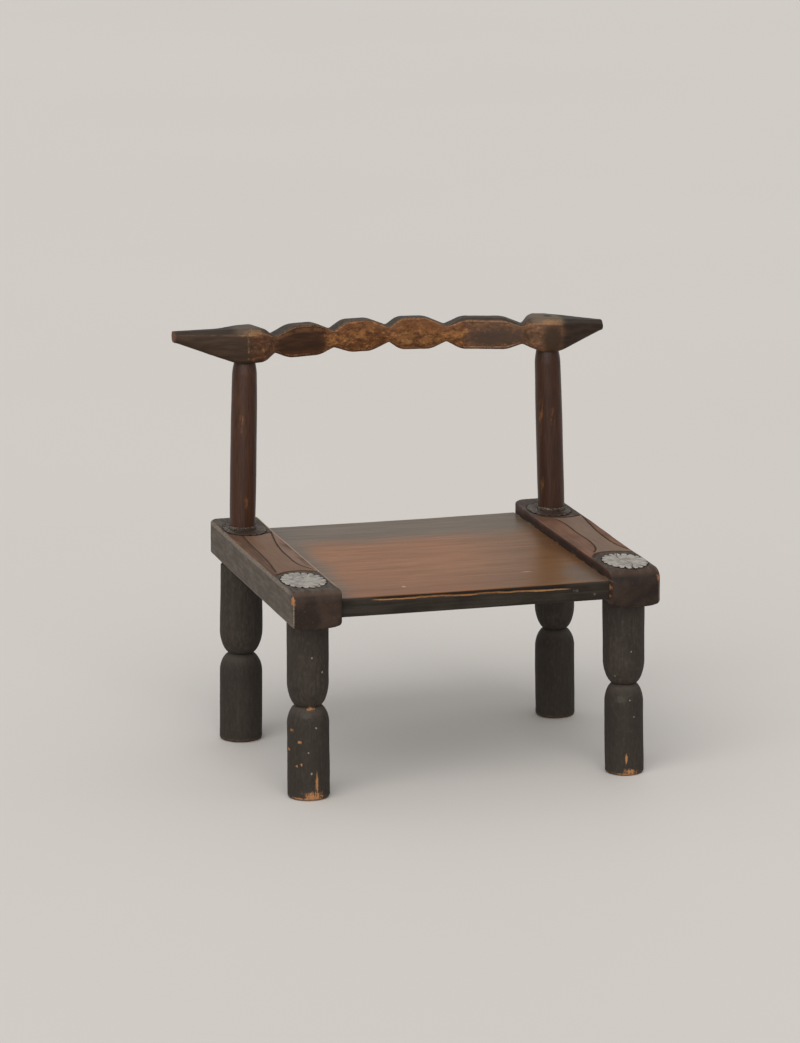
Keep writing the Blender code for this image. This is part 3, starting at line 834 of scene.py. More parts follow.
def back_post(side, tree, look):
    node = f"{side}_back_post"
    ends = axis_of(node)
    foot = node_box(f"{side}_rail")[1].z - TIN_RECESS
    top = head_places()[side].z
    heights = steps(foot, top - POST_SHOULDER_DROP, TURNED_RING_STEP)
    heights += steps(top - POST_SHOULDER_DROP, top, TURNED_RING_STEP)[1:]
    rings = [circle(on_axis(ends, z), post_radius(side, z, foot, top), POST_SIDES) for z in heights]
    piece = loft(f"{node}_shaved", capped(rings, "post"))
    tree.shape(piece, **HAND_WORK["post"], Material=look)
    return handed_in(shaded(piece), node)


def corner_inset(distance, radius):
    """How far a rounded corner stands back at this distance from the end that it rounds."""
    if distance >= radius:
        return 0.0
    return radius - math.sqrt(radius * radius - (radius - distance) ** 2)


def rounded_ring(low, high, radii, counts):
    """Points round a rectangle from its corner at high, and the number of the corner that each lies on, or
    None. The radii and the counts of points between corners start at that corner and its side towards low."""
    (u_low, v_low), (u_high, v_high) = low, high
    corners = (
        (u_high - radii[0], v_high - radii[0]),
        (u_low + radii[1], v_high - radii[1]),
        (u_low + radii[2], v_low + radii[2]),
        (u_high - radii[3], v_low + radii[3]),
    )

    def on_arc(index, quarters):
        turn = math.pi / 2 * quarters
        u, v = corners[index]
        return u + radii[index] * math.cos(turn), v + radii[index] * math.sin(turn)

    points = []
    flags = []
    for index, count in enumerate(counts):
        points += [on_arc(index, index + step / ARC_STEPS) for step in range(ARC_STEPS + 1)]
        flags += [index] * (ARC_STEPS + 1)
        start = points[-1]
        end = on_arc((index + 1) % len(corners), index + 1)
        points += [partway(start, end, step / count) for step in range(1, count)]
        flags += [None] * (count - 1)
    return points, flags


def end_steps(radius, count):
    """Distances from an end that lie closer together where a corner turns fastest."""
    return [radius * (1 - math.cos(math.pi / 2 * step / count)) for step in range(count)]


def rail_rise(y, low, high):
    """How much the rail's rear end bends up at y."""
    share = max(0.0, (2 * y - low.y - high.y) / (high.y - low.y))
    return RAIL_REAR_RISE * share * share


def rail_blank(side):
    """The rail before its lines are cut: rounded corners, and shallow recesses for the tin."""
    low, high = node_box(f"{side}_rail")
    sign = SIDES[side]
    middle = (low + high) / 2
    half_width = (high.x - low.x) / 2
    rounds = RAIL_ROUND[side]
    deepest_round = max(rounds.values())
    distances = end_steps(deepest_round, RAIL_END_STEPS)
    stations = [low.y + distance for distance in distances]
    stations += steps(low.y + deepest_round, high.y - deepest_round, RAIL_GRID)
    stations += [high.y - distance for distance in reversed(distances)]
    radii = [RAIL_ARRIS[name] for name in ("top_outer", "top_inner", "bottom_inner", "bottom_outer")]
    counts = [math.ceil(2 * half_width / RAIL_GRID)] + [RAIL_SIDE_STEPS] * 3
    rings = []
    for y in stations:
        front, rear = y - low.y, high.y - y
        inner = max(corner_inset(front, rounds["front_inner"]), corner_inset(rear, rounds["rear_inner"]))
        outer = max(corner_inset(front, rounds["front_outer"]), corner_inset(rear, rounds["rear_outer"]))
        outer -= RAIL_BOW[side] * max(0.0, 1 - ((y - RAIL_BOW_MIDDLE) / RAIL_BOW_REACH) ** 2)
        drop = max(corner_inset(front, RAIL_FRONT_TOP_ROUND[side]), corner_inset(rear, RAIL_REAR_TOP_ROUND))
        rise = corner_inset(min(front, rear), RAIL_BOTTOM_ROUND)
        ring_low, ring_high = (inner - half_width, low.z + rise), (half_width - outer, high.z - drop)
        ring, corners = rounded_ring(ring_low, ring_high, radii, counts)
        hang = RAIL_BELLY * max(0.0, 1 - front / RAIL_BELLY_LENGTH)
        placed = []
        for across, z in ring:
            x = middle.x + sign * across
            bottomness = max(0.0, 1 - 2 * (z - low.z) / (high.z - low.z))
            fullness = 1 - (across / half_width) ** RAIL_BELLY_POWER
            z += rail_rise(y, low, high) - hang * bottomness * fullness
            placed.append((x, y, recessed(side, x, y, z)))
        rings.append(placed)
    marks = {"outer_arris": on_corners(corners, 0), "inner_arris": on_corners(corners, 1)}
    return loft(f"{side}_rail_carved", capped(rings, "rail"), marks)


def tins_on(side):
    return f"front_{side}_plate", f"rear_{side}_collar"


def tin_floor(side, node):
    """The level of the recess that the tin lies in."""
    low, high = node_box(f"{side}_rail")
    return high.z + rail_rise(middle_of(node).y, low, high) - TIN_RECESS


def recessed(side, x, y, z):
    """A height on the rail, lowered to a recess's floor where a tin lies."""
    for node in tins_on(side):
        floor = tin_floor(side, node)
        if z > floor:
            z += (floor - z) * min(1.0, max(0.0, (1.0 - from_tin(node, x, y)) * TIN_RECESS_STEEPNESS))
    return z


def from_tin(node, x, y):
    """0 in the middle of a tin, 1 at the rim of its recess, more outside it."""
    low, high = node_box(node)
    middle = middle_of(node)
    across = (x - middle.x) / ((high.x - low.x) / 2 + TIN_RECESS_GAP)
    along = (y - middle.y) / ((high.y - low.y) / 2 + TIN_RECESS_GAP)
    return math.hypot(across, along)


def line_curves(side, kind):
    """The smooth paths of the arcs or of the long lines on one rail's top."""
    middle = middle_of(f"{side}_rail")
    level = node_box(f"{side}_rail")[1].z
    data = bpy.data.curves.new(f"{side}_rail_lines", "CURVE")
    data.dimensions = "3D"
    data.resolution_u = LINE_RESOLUTION
    for points in (points for name, points in RAIL_LINES[side].items() if name.endswith(kind)):
        spline = data.splines.new("BEZIER")
        spline.bezier_points.add(len(points) - 1)
        for knot, (across, along) in zip(spline.bezier_points, points):
            knot.co = (middle.x + SIDES[side] * across, along, level)
            knot.handle_left_type = knot.handle_right_type = "AUTO"
    return linked(f"{side}_rail_lines", data)


def mark_regions(piece, side):
    """Marks the carved length between the arcs, and in it the panel between the two long lines."""
    middle = middle_of(f"{side}_rail")
    lines = RAIL_LINES[side]
    front_arc, rear_arc = (sorted(lines[name]) for name in ("front_arc", "rear_arc"))
    inner_line, outer_line = (
        sorted((along, across) for across, along in lines[name]) for name in ("inner_line", "outer_line")
    )

    def inside(value, start, end):
        return min(1.0, max(0.0, 0.5 + min(value - start, end - value) / RAIL_GRID))

    def carved(place):
        across = SIDES[side] * (place.x - middle.x)
        return inside(place.y, between(front_arc, across), between(rear_arc, across))

    def panel(place):
        across = SIDES[side] * (place.x - middle.x)
        return carved(place) * inside(across, between(inner_line, place.y), between(outer_line, place.y))

    mark(piece, "carved", carved)
    mark(piece, "panel", panel)


def mark_recess(piece, side):
    """Marks how near a point lies to the rim of a tin's recess, where painted shadow darkens the rail."""

    def nearness(node, place):
        away = abs(from_tin(node, place.x, place.y) - RECESS_RIM) / RECESS_RIM_WIDTH
        return RECESS_SHADOW_STRENGTH[node.split("_")[2]] * max(0.0, 1.0 - away)

    mark(piece, "recess_shadow", lambda place: max(nearness(node, place) for node in tins_on(side)))


def side_rail(side, worked, cut, look):
    piece = rail_blank(side)
    mark_regions(piece, side)
    mark_recess(piece, side)
    worked.shape(piece, **HAND_WORK["rail"], Material=look)
    for kind, (width, depth) in LINE_CUTS.items():
        lines = line_curves(side, kind)
        cut.shape(piece, Lines=lines, Label=f"cut_{kind}", Width=width, Depth=depth, Material=look)
        bpy.data.objects.remove(lines)
    return handed_in(shaded(piece), f"{side}_rail")


def split_drop(along):
    """How far under the top the split in the front edge lies, along the board from its middle."""
    (start, first), (end, last) = SPLIT_START, SPLIT_END
    return first + (last - first) * (along - start) / (end - start)


def split_share(along):
    """1 along most of the split, 0 at its ends and beyond them."""
    start, end = SPLIT_START[0], SPLIT_END[0]
    share = (2 * along - start - end) / (end - start)
    return max(0.0, 1 - share**SPLIT_POWER)


def seat_board(tree, look):
    low, high = node_box("seat_board")
    left = node_box("left_rail")[1].x
    right = node_box("right_rail")[0].x
    radii = [BOARD_ARRIS[name] for name in ("rear_top", "front_top", "front_bottom", "rear_bottom")]
    top_steps = math.ceil((high.y - low.y) / BOARD_GRID)
    front_steps = math.ceil((high.z - low.z) / BOARD_EDGE_GRID)
    counts = [top_steps, front_steps, BOARD_UNDER_STEPS, BOARD_REAR_STEPS]
    ring, _ = rounded_ring((low.y, low.z), (high.y, high.z), radii, counts)
    rings = []
    for x in steps(left, right, BOARD_GRID):
        share = 2 * (x - left) / (right - left) - 1
        placed = []
        for y, z in ring:
            split = abs(high.z - z - split_drop(x - CHAIR_X)) / SPLIT_HEIGHT * 2
            if y < low.y + BOARD_ARRIS["front_top"] and split < 1:
                y += SPLIT_DEPTH * (1 - split * split) * split_share(x - CHAIR_X)
            if z > high.z - BOARD_ARRIS["front_top"]:
                z += BOARD_DISH * share * share
            placed.append((x, y, z))
        rings.append(placed)
    piece = loft("seat_board_planed", capped(rings, "seat"))
    tree.shape(piece, **HAND_WORK["seat"], Material=look)
    return handed_in(shaded(piece), "seat_board")


def head_places():
    """Where the posts' axes meet the underside of the crest rail's heads."""
    places = {}
    for side in SIDES:
        ends = axis_of(f"{side}_back_post")
        top = node_box(f"{side}_back_post")[1].z
        places[side] = on_axis(ends, top - HEAD_HEIGHT + POST_TENON_DROP)
    return places


def neck_places(heads):
    left, right = heads["left"].x, heads["right"].x
    return [(left + right) / 2 + share * (right - left) / 2 for share in NECK_SHARES]


def crest_profiles(heads):
    """Runs of (x, value) along the crest rail: its top and foot above the heads' undersides, the reach of
    its front and back from its middle line, its front chamfer, and the fall of its top towards the back."""
    runs = {"top": [], "foot": [], "front": [], "back": [], "chamfer": [], "fall": []}
    for side in SIDES:
        add_head(runs, side, heads[side].x)
    necks = neck_places(heads)
    middle = HEAD_HEIGHT / 2
    for neck, height, drop in zip(necks, NECK_HEIGHTS, NECK_DROPS):
        runs["top"].append((neck, middle - drop + height / 2))
        runs["foot"].append((neck, middle - drop - height / 2))
        add_faces(runs, neck, NECK_DEPTH, NECK_CHAMFER, 0.0)
    for index, (start, end) in enumerate(zip(necks, necks[1:])):
        (top_left, top_right), (foot_left, foot_right) = LOBE_TOP_SLOPES[index], LOBE_FOOT_SLOPES[index]
        tops = (start + top_left, end - top_right)
        runs["top"] += [(x, middle + LOBE_HEIGHT / 2) for x in tops]
        runs["foot"] += [(x, middle - LOBE_HEIGHT / 2) for x in (start + foot_left, end - foot_right)]
        for x in tops:
            add_faces(runs, x, LOBE_DEPTH, LOBE_CHAMFERS[index], LOBE_TOP_FALL)
    return {name: sorted(run) for name, run in runs.items()}


def add_head(runs, side, axis):
    """A head over its post, and the horn outside it."""
    sign = SIDES[side]
    tip = axis + sign * HORN_REACH[side]
    tip_top = HEAD_HEIGHT - HORN_DROOP[side]
    inner = axis - sign * HEAD_TOP_INNER[side]
    half_depth = HEAD_DEPTH / 2
    runs["top"] += [(tip, tip_top), (axis, HEAD_HEIGHT), (inner, HEAD_HEIGHT)]
    runs["foot"] += [(tip, tip_top - HORN_TIP_HEIGHT[side]), (axis + sign * HEAD_FOOT_OUTER[side], 0.0)]
    runs["foot"] += [(axis - sign * HEAD_FOOT_INNER[side], 0.0)]
    runs["front"] += [(tip, HORN_TIP_DEPTH / 2), (axis + sign * HEAD_FRONT_OUTER[side], half_depth)]
    runs["front"] += [(inner, half_depth)]
    runs["back"] += [(tip, HORN_TIP_DEPTH / 2), (axis + sign * HORN_ROOT, HORN_ROOT_BACK[side])]
    runs["back"] += [(axis + sign * HEAD_BACK_OUTER[side], half_depth), (inner, half_depth)]
    runs["chamfer"] += [(tip, HORN_TIP_CHAMFER), (axis, HEAD_CHAMFER), (inner, HEAD_CHAMFER)]
    runs["fall"] += [(tip, 0.0), (inner, 0.0)]


def add_faces(runs, x, depth, chamfer, fall):
    """A section on the middle line, as deep in front as behind."""
    runs["front"].append((x, depth / 2))
    runs["back"].append((x, depth / 2))
    runs["chamfer"].append((x, chamfer))
    runs["fall"].append((x, fall))


def between(run, x):
    """The value at x on straight lines between a run's points."""
    for (start, first), (end, second) in zip(run, run[1:]):
        if x <= end:
            return first + (second - first) * min(max((x - start) / (end - start), 0.0), 1.0)
    return run[-1][1]


def softened(run, x, necks):
    """The value at x with the run's corners eased. The necks stay sharper."""
    nearness = max(0.0, 1 - min(abs(x - neck) for neck in necks) / NECK_SOFTNESS_REACH)
    softness = CREST_SOFTNESS + (NECK_SOFTNESS - CREST_SOFTNESS) * nearness
    samples = [between(run, x + softness * offset) for offset in SOFTENING_OFFSETS]
    return sum(samples) / len(samples)


def crest_line(x, heads):
    """Plan position, level and plan slope of the crest rail's middle line at x. The horns run straight."""
    left, right = heads["left"], heads["right"]
    half_span = (right.x - left.x) / 2
    share = (x - (left.x + right.x) / 2) / half_span
    level = left.z + (right.z - left.z) * (share + 1) / 2
    lift = max(0.0, 1 - share * share)
    slope = -2 * CREST_BOW * share / half_span if lift else 0.0
    return left.y + CREST_BOW * lift, level + CREST_ARCH * lift**CREST_ARCH_POWER, slope


def crest_outline(top, foot, front, back, chamfer, fall):
    """(back, rise) points round a section, the number of the corner that each lies on or None, and how high
    each lies on the front face. The corners count from the front face's foot, first the underside's."""
    limit = CHAMFER_LIMIT * min(front + back, top - foot)
    low = min(CREST_FOOT_CHAMFER, limit)
    high = min(chamfer, FRONT_CHAMFER_LIMIT * limit)
    rear = min(CREST_BACK_CHAMFER, limit)
    corners = (
        (-front + low, foot),
        (-front, foot + low),
        (-front, top - high),
        (-front + high, top),
        (back - rear, top - fall),
        (back, top - fall - rear),
        (back, foot + rear),
        (back - rear, foot),
    )
    points = []
    flags = []
    rises = []
    for index, (start, count) in enumerate(zip(corners, CREST_SIDE_STEPS)):
        end = corners[(index + 1) % len(corners)]
        for step in range(count):
            share = step / count
            rises.append(share if index == CREST_FRONT else 0.0)
            swell = CREST_BULGE * 4 * share * (1 - share) if index in (CREST_FRONT, CREST_BACK) else 0.0
            reach, rise = partway(start, end, share)
            points.append((reach + math.copysign(swell, reach), rise))
            flags.append(None if step else index)
    return points, flags, rises


def crest_rail(tree, look):
    heads = head_places()
    runs = crest_profiles(heads)
    necks = neck_places(heads)
    rings = []
    for x in steps(runs["top"][0][0], runs["top"][-1][0], CREST_STEP):
        outline, corners, rises = crest_outline(*(softened(run, x, necks) for run in runs.values()))
        y, z, slope = crest_line(x, heads)
        across = Vector((-slope, 1.0)).normalized()
        rings.append([(x + back * across.x, y + back * across.y, z + rise) for back, rise in outline])
    marks = {
        "face_rise": rises,
        "foot_arris": on_corners(corners, 0, 1),
        "face_arris": on_corners(corners, 2),
        "top_arris": on_corners(corners, 3),
    }
    piece = loft("crest_rail_carved", capped(rings, "crest"), marks)
    tree.shape(piece, **HAND_WORK["crest"], Material=look)
    return handed_in(shaded(piece), "crest_rail")


def tin_piece(node, tree, look, hole=None):
    low, high = node_box(node)
    middle = middle_of(node)
    _, side, kind = node.split("_")
    middle.z = tin_floor(side, node) + TIN_THICKNESS + TIN_LIFT
    hole_middle, hole_radius, sleeve = hole or (middle, 0.0, 0.0)
    piece = linked(f"{node}_hammered", bpy.data.meshes.new(node))
    tree.shape(
        piece,
        Middle=tuple(middle),
        HalfWidth=(high.x - low.x) / 2,
        HalfLength=(high.y - low.y) / 2,
        HoleMiddle=(hole_middle.x, hole_middle.y, middle.z),
        HoleRadius=hole_radius,
        SleeveHeight=sleeve,
        ToothDepth=TIN_TOOTH_DEPTH[kind],
        Crumple=TIN_CRUMPLE[kind],
        Chance=middle.x + middle.y,
        Material=look,
    )
    sheet = piece.modifiers.new("sheet", "SOLIDIFY")
    sheet.thickness = TIN_THICKNESS
    sheet.offset = -1.0
    return handed_in(shaded(piece), node)


def seen_point(axis, radius, across):
    """The point of a turned piece that the camera sees at this share of the piece's half width."""
    toward = Vector((-math.sin(CAMERA_YAW), -math.cos(CAMERA_YAW), 0.0))
    rightward = Vector((math.cos(CAMERA_YAW), -math.sin(CAMERA_YAW), 0.0))
    return axis + radius * (math.sqrt(1 - across * across) * toward + across * rightward)


def toned(colour, factor):
    return tuple(part * factor for part in colour)


def leg_look(corner):
    finish = Finish(f"{corner}_leg_wood", specular=0.20)
    fibres = finish.noise((620, 620, 26), 4.0, 0.6)
    strands = finish.noise((120, 120, 8), 3.0)
    cloud = finish.noise((30, 30, 14), 4.0, 0.6)
    flecks = finish.noise((260, 260, 120), 5.0, 0.7)
    upward = finish.facing()[2]
    lower_drum = finish.z.fade(LEG_NECK_HEIGHT[corner], LEG_NECK_HEIGHT[corner] - 0.02)
    foot = (finish.z + finish.ragged * 0.012).fade(0.006, 0.001)
    colour = finish.layered(
        finish.mix(fibres.fade(0.25, 0.75), (0.027, 0.0203, 0.0152), (0.040, 0.0308, 0.0235)),
        (strands.fade(0.5, 0.8) * 0.4, (0.060, 0.047, 0.036)),
        (cloud.fade(0.45, 0.75) * 0.6, (0.022, 0.0168, 0.0126)),
        # painted highlight: upward faces, such as the lower drum's shoulder, lighter
        (upward.fade(0.15, 0.7) * 0.4, (0.085, 0.068, 0.054)),
        (flecks.fade(0.50, 0.62) * 0.4, (0.058, 0.046, 0.036)),
        (flecks.fade(0.46, 0.34) * 0.5, (0.020, 0.0155, 0.0118)),
        (flecks.fade(0.66, 0.74) * 0.45, (0.12, 0.085, 0.055)),
        # painted shade: the lower drum darker
        (lower_drum * 0.3, (0.020, 0.0155, 0.0118)),
        (finish.crumbs.fade(0.17, 0.23) * lower_drum * LEG_FLECKS[corner], (0.20, 0.135, 0.085)),
        (foot * 0.5, (0.12, 0.070, 0.040)),
    )
    marks = LEG_MARKS.get(corner, {})
    streaks = {"chip": (fibres - 0.5) * LEG_CHIP_STREAKS}
    for kind, tone in LEG_MARK_TONES.items():
        for across, height, half_width, half_height in marks.get(kind, ()):
            place = seen_point(leg_axis(corner, height), leg_radius(corner, height), across)
            half_size = (half_width, half_width, half_height)
            patch = finish.patch(place, half_size, LEG_MARK_RAGGEDNESS[kind], streaks.get(kind))
            colour = colour.mix(patch * LEG_MARK_STRENGTH, tone)
    return finish.paint(colour, roughness=0.62 + 0.2 * fibres, height=fibres + strands, depth=0.0004)


def post_look(side):
    finish = Finish(f"{side}_post_wood", specular=0.22)
    ends = axis_of(f"{side}_back_post")
    tone = POST_TONE[side]
    fibres = finish.noise((700, 700, 18), 4.0, 0.6)
    strands = finish.noise((170, 170, 10), 3.0)
    cloud = finish.noise((70, 70, 16), 3.0)
    rubbed = finish.noise((320, 320, 70), 5.0, 0.7).fade(0.46, 0.64)
    dark, light = toned((0.030, 0.0110, 0.0050), tone), toned((0.056, 0.0220, 0.0104), tone)
    colour = finish.layered(
        finish.mix(fibres.fade(0.3, 0.7), dark, light),
        (strands.fade(0.45, 0.7) * 0.5, toned((0.024, 0.0110, 0.0066), tone)),
        (cloud.fade(0.5, 0.8) * rubbed * 0.4, (0.110, 0.043, 0.015)),
    )
    for across, height, half_width, half_height in POST_MARKS[side]:
        place = seen_point(on_axis(ends, height), POST_MIDDLE_RADIUS[side], across)
        patch = finish.patch(place, (half_width, half_width, half_height), raggedness=1.6)
        colour = colour.mix(patch * rubbed * 0.8, (0.160, 0.062, 0.020))
    return finish.paint(colour, roughness=0.28 + 0.16 * strands, height=fibres, depth=0.0003)


def rail_look(side):
    finish = Finish(f"{side}_rail_wood", specular=0.17)
    fibres = finish.noise((420, 16, 420), 4.0, 0.6)
    scuffs = finish.noise((150, 34, 150), 5.0, 0.7)
    scuffed = scuffs.fade(0.40, 0.68)
    cloud = finish.noise((38, 16, 38), 3.0)
    grit = finish.noise((420, 260, 420), 4.0, 0.7)
    faces = finish.facing()
    top = faces[2].fade(0.5, 0.85)
    colour = rail_sides_colour(finish, side, faces, scuffed, cloud, grit)
    colour = colour.mix(top, rail_top_colour(finish, side, fibres, scuffed, cloud))
    colour = rail_wear(finish, side, colour, grit)
    shine = 0.12 * finish.attribute("panel") * top + 0.12 * (-faces[1]).fade(0.5, 0.8)
    relief = fibres * 0.5 + scuffs * 0.3 + grit * 0.2
    return finish.paint(colour, roughness=0.62 - shine, height=relief, depth=0.0005)


def rail_sides_colour(finish, side, faces, scuffed, cloud, grit):
    """The ends are nearly black. The outer side is grey with dust and scuffs and lighter as painted window
    light, with a pale bottom arris that is wear and painted highlight; the inner side is brown under its top
    edge, with a painted highlight along the seat board's edge.
    """
    low, high = node_box(f"{side}_rail")
    sign = SIDES[side]
    tone = RAIL_TONES[side]["end_grain"]
    outer = (faces[0] * sign).fade(0.5, 0.8)
    inner = (faces[0] * -sign).fade(0.5, 0.8)
    # pale bottom arris of the outer side: wear, and painted highlight
    foot = finish.z.fade(low.z + 0.0045, low.z + 0.0015) * grit.fade(0.36, 0.54)
    # the outer side: scuffed and dusty grey, partly painted window light from the left
    greyed = finish.layered(
        finish.mix(scuffed, (0.068, 0.054, 0.041), (0.115, 0.093, 0.071)),
        (cloud.fade(0.5, 0.75) * 0.35, (0.045, 0.036, 0.027)),
        (grit.fade(0.60, 0.72) * 0.35, (0.175, 0.150, 0.120)),
        (foot * 0.6, (0.185, 0.160, 0.130)),
    )
    under_edge = (finish.z + finish.ragged * 0.004).fade(high.z - 0.007, high.z - 0.001)
    # painted highlight: a pale line on the inner side just above the seat board's edge
    joint_highlight = finish.line(finish.z - node_box("seat_board")[1].z - 0.0012, 0.0012)
    browned = finish.layered(
        finish.mix(scuffed, (0.024, 0.0125, 0.0085), (0.046, 0.0235, 0.0155)),
        (under_edge, finish.mix(scuffed, (0.045, 0.022, 0.014), (0.095, 0.045, 0.027))),
        (joint_highlight * (scuffed + cloud).fade(0.7, 1.1) * 0.75, (0.180, 0.125, 0.088)),
    )
    dark, light = toned((0.021, 0.0118, 0.0079), tone), toned((0.047, 0.0273, 0.0186), tone)
    return finish.layered(
        finish.mix(cloud.fade(0.35, 0.7), dark, light),
        (grit.fade(0.58, 0.72) * 0.55, toned((0.100, 0.066, 0.047), tone)),
        # outer side: grey, partly painted window light
        (outer, greyed),
        (inner, browned),
    )


def rail_top_colour(finish, side, fibres, scuffed, cloud):
    """Dark ends round the tin, and between the arcs a smooth panel with an orange-brown band on each side."""
    low, high = node_box(f"{side}_rail")
    tones = RAIL_TONES[side]
    streak = fibres.fade(0.3, 0.7)
    bands = finish.mix((cloud + streak * 0.3).fade(0.45, 0.95), tones["band_dark"], tones["band_light"])
    inward = (finish.x - (low.x + high.x) / 2) * -SIDES[side]
    inner_band = inward.fade(-0.004, 0.004) * cloud.fade(0.30, 0.55) * tones["inner_band"]
    clouded = streak * 0.6 + cloud.fade(0.4, 0.7) * 0.4
    cut = (finish.attribute("cut_arc") + finish.attribute("cut_line")).fade(0.03, 0.35)
    front_top = (finish.y + finish.ragged * 0.008).fade(low.y + 0.018, low.y + 0.004)
    return finish.layered(
        finish.mix(scuffed, tones["end_dark"], tones["end_light"]),
        (finish.attribute("carved"), bands.mix(inner_band, (0.225, 0.136, 0.098))),
        (finish.attribute("panel"), finish.mix(clouded, tones["panel_dark"], tones["panel_light"])),
        # painted shadow in the recess round the tin
        (finish.attribute("recess_shadow").fade(0.1, 0.7) * 0.85, RECESS_SHADOW_AND_TENON_END),
        # painted shade in the cut lines: they are darkened
        (cut * 0.92, (0.044, 0.0190, 0.0095)),
        (front_top * 0.8, toned((0.076, 0.044, 0.029), tones["end_grain"])),
    )


def rail_wear(finish, side, colour, grit):
    """Pale worn edges, and chips at the front corners."""
    low, high = node_box(f"{side}_rail")
    sign = SIDES[side]
    outer_x, inner_x = (high.x, low.x) if sign > 0 else (low.x, high.x)
    tones = RAIL_TONES[side]
    worn = grit.fade(0.36, 0.54)
    sides = finish.y.fade(high.y - 0.002, high.y - 0.020)
    outer = finish.attribute("outer_arris").fade(0.3, 0.9) * sides
    outer = outer * finish.y.fade(low.y + 0.003, low.y + 0.02)
    inner = finish.attribute("inner_arris").fade(0.05, 0.6) * sides
    inner = inner * finish.y.fade(low.y + 0.01, low.y + 0.04)
    down = finish.line(finish.x - outer_x + sign * 0.003, 0.0010)
    down = down * finish.y.fade(low.y + 0.006, low.y + 0.003)
    place = (outer_x - sign * 0.002, low.y + 0.002, high.z - 0.010)
    corner = finish.patch(place, (0.0034, 0.0034, 0.0056), raggedness=2.4)
    colour = finish.layered(
        colour,
        (outer * worn * 0.85, tones["outer_arris"]),
        (inner * tones["inner_wear"], (0.44, 0.315, 0.220)),
        (down * (0.25 + worn * 0.75) * tones["corner_line"], (0.215, 0.168, 0.128)),
        (corner * tones["corner_chip"], (0.30, 0.125, 0.050)),
    )
    for depth, width, height in ((0.0205, 0.0050, 0.0038), (0.0325, 0.0040, 0.0022)):
        place = (inner_x + sign * 0.0006, low.y + 0.0085, high.z - depth)
        chip = finish.patch(place, (width, width, height), raggedness=2.6)
        colour = colour.mix(chip * tones["joint_chips"], (0.25, 0.120, 0.048))
    return colour


def seat_look():
    finish = Finish("seat_wood", specular=0.10)
    fibres = finish.noise((9, 380, 380), 4.0, 0.6)
    bands = finish.noise((6, 60, 60), 4.0, 0.65)
    cloud = finish.noise((16, 24, 24), 4.0, 0.6)
    streak = fibres.fade(0.28, 0.72)
    _, along, upward = finish.facing()
    edges = (along.size() + (-upward).above(0.0)).fade(0.35, 0.75)
    surface = seat_top_colour(finish, streak, bands, cloud)
    colour = surface.mix(edges, seat_edge_colour(finish, streak, bands, cloud))
    return finish.paint(colour, roughness=0.26 + 0.14 * bands, height=fibres, depth=0.0002)


def seat_top_colour(finish, streak, bands, cloud):
    """Orange-brown where it is sat on, yellow-brown to the right, grey along the left and the rear. The
    darker yellow-brown on the right is partly painted reflection of the right post and rail, and the dark
    strip and patch beside the right rail are painted reflection of that rail."""
    high = node_box("seat_board")[1]
    left = node_box("left_rail")[1].x
    right = node_box("right_rail")[0].x
    drift = (bands - 0.5) * 0.09 + (cloud - 0.5) * 0.06
    forward = (finish.y + drift).fade(-0.08, -0.20)
    # darker yellow-brown on the right half: the wood's tone, and partly painted reflection of the right post
    # and rail
    rightward = (finish.x - finish.y * 0.25 + drift).fade(CHAIR_X + 0.01, CHAIR_X + 0.15)
    beside_left = (finish.x - finish.y * 0.06 + drift * 0.5).fade(left + 0.044, left + 0.010)
    rear = (finish.y + drift).fade(0.055, 0.140)
    # painted reflection of the right rail's inner face: a dark strip and patch on the seat beside it
    rail_reflection_strip = (finish.x + drift * 0.5).fade(right - 0.040, right - 0.004)
    rail_reflection_patch = finish.patch((right - 0.006, 0.016, high.z), (0.024, 0.085, 0.02), raggedness=0.8)
    corner = finish.patch((right - 0.014, -0.170, high.z), (0.036, 0.060, 0.02), raggedness=0.8)
    grey = finish.mix(streak, (0.088, 0.063, 0.039), (0.164, 0.125, 0.085))
    surface = finish.layered(
        finish.mix(streak, (0.206, 0.078, 0.023), (0.300, 0.128, 0.046)),
        (bands.fade(0.45, 0.65) * 0.5, (0.180, 0.064, 0.017)),
        (cloud.fade(0.5, 0.75) * 0.4, (0.345, 0.157, 0.062)),
        (forward * 0.45, (0.158, 0.061, 0.021)),
        # the right half darker: the wood's tone, and partly painted reflection
        (rightward * 0.8, finish.mix(streak, (0.112, 0.053, 0.018), (0.176, 0.087, 0.033))),
        (beside_left * 0.9, grey),
        (rear * 0.95, grey),
        # painted reflection of the right rail, as a dark strip and patch
        (rail_reflection_strip * 0.25, (0.098, 0.053, 0.030)),
        (rail_reflection_patch * 0.3, (0.054, 0.026, 0.0150)),
        (corner * 0.55, (0.108, 0.080, 0.058)),
    )
    for across, along, half_size, tone in (
        (0.093, -0.135, (0.007, 0.0022, 0.01), (0.44, 0.27, 0.11)),
        (-0.085, -0.171, (0.0030, 0.0040, 0.01), (0.50, 0.30, 0.20)),
    ):
        scratch = finish.patch((CHAIR_X + across, along, high.z), half_size, raggedness=1.6)
        surface = surface.mix(scratch * 0.85, tone)
    return surface


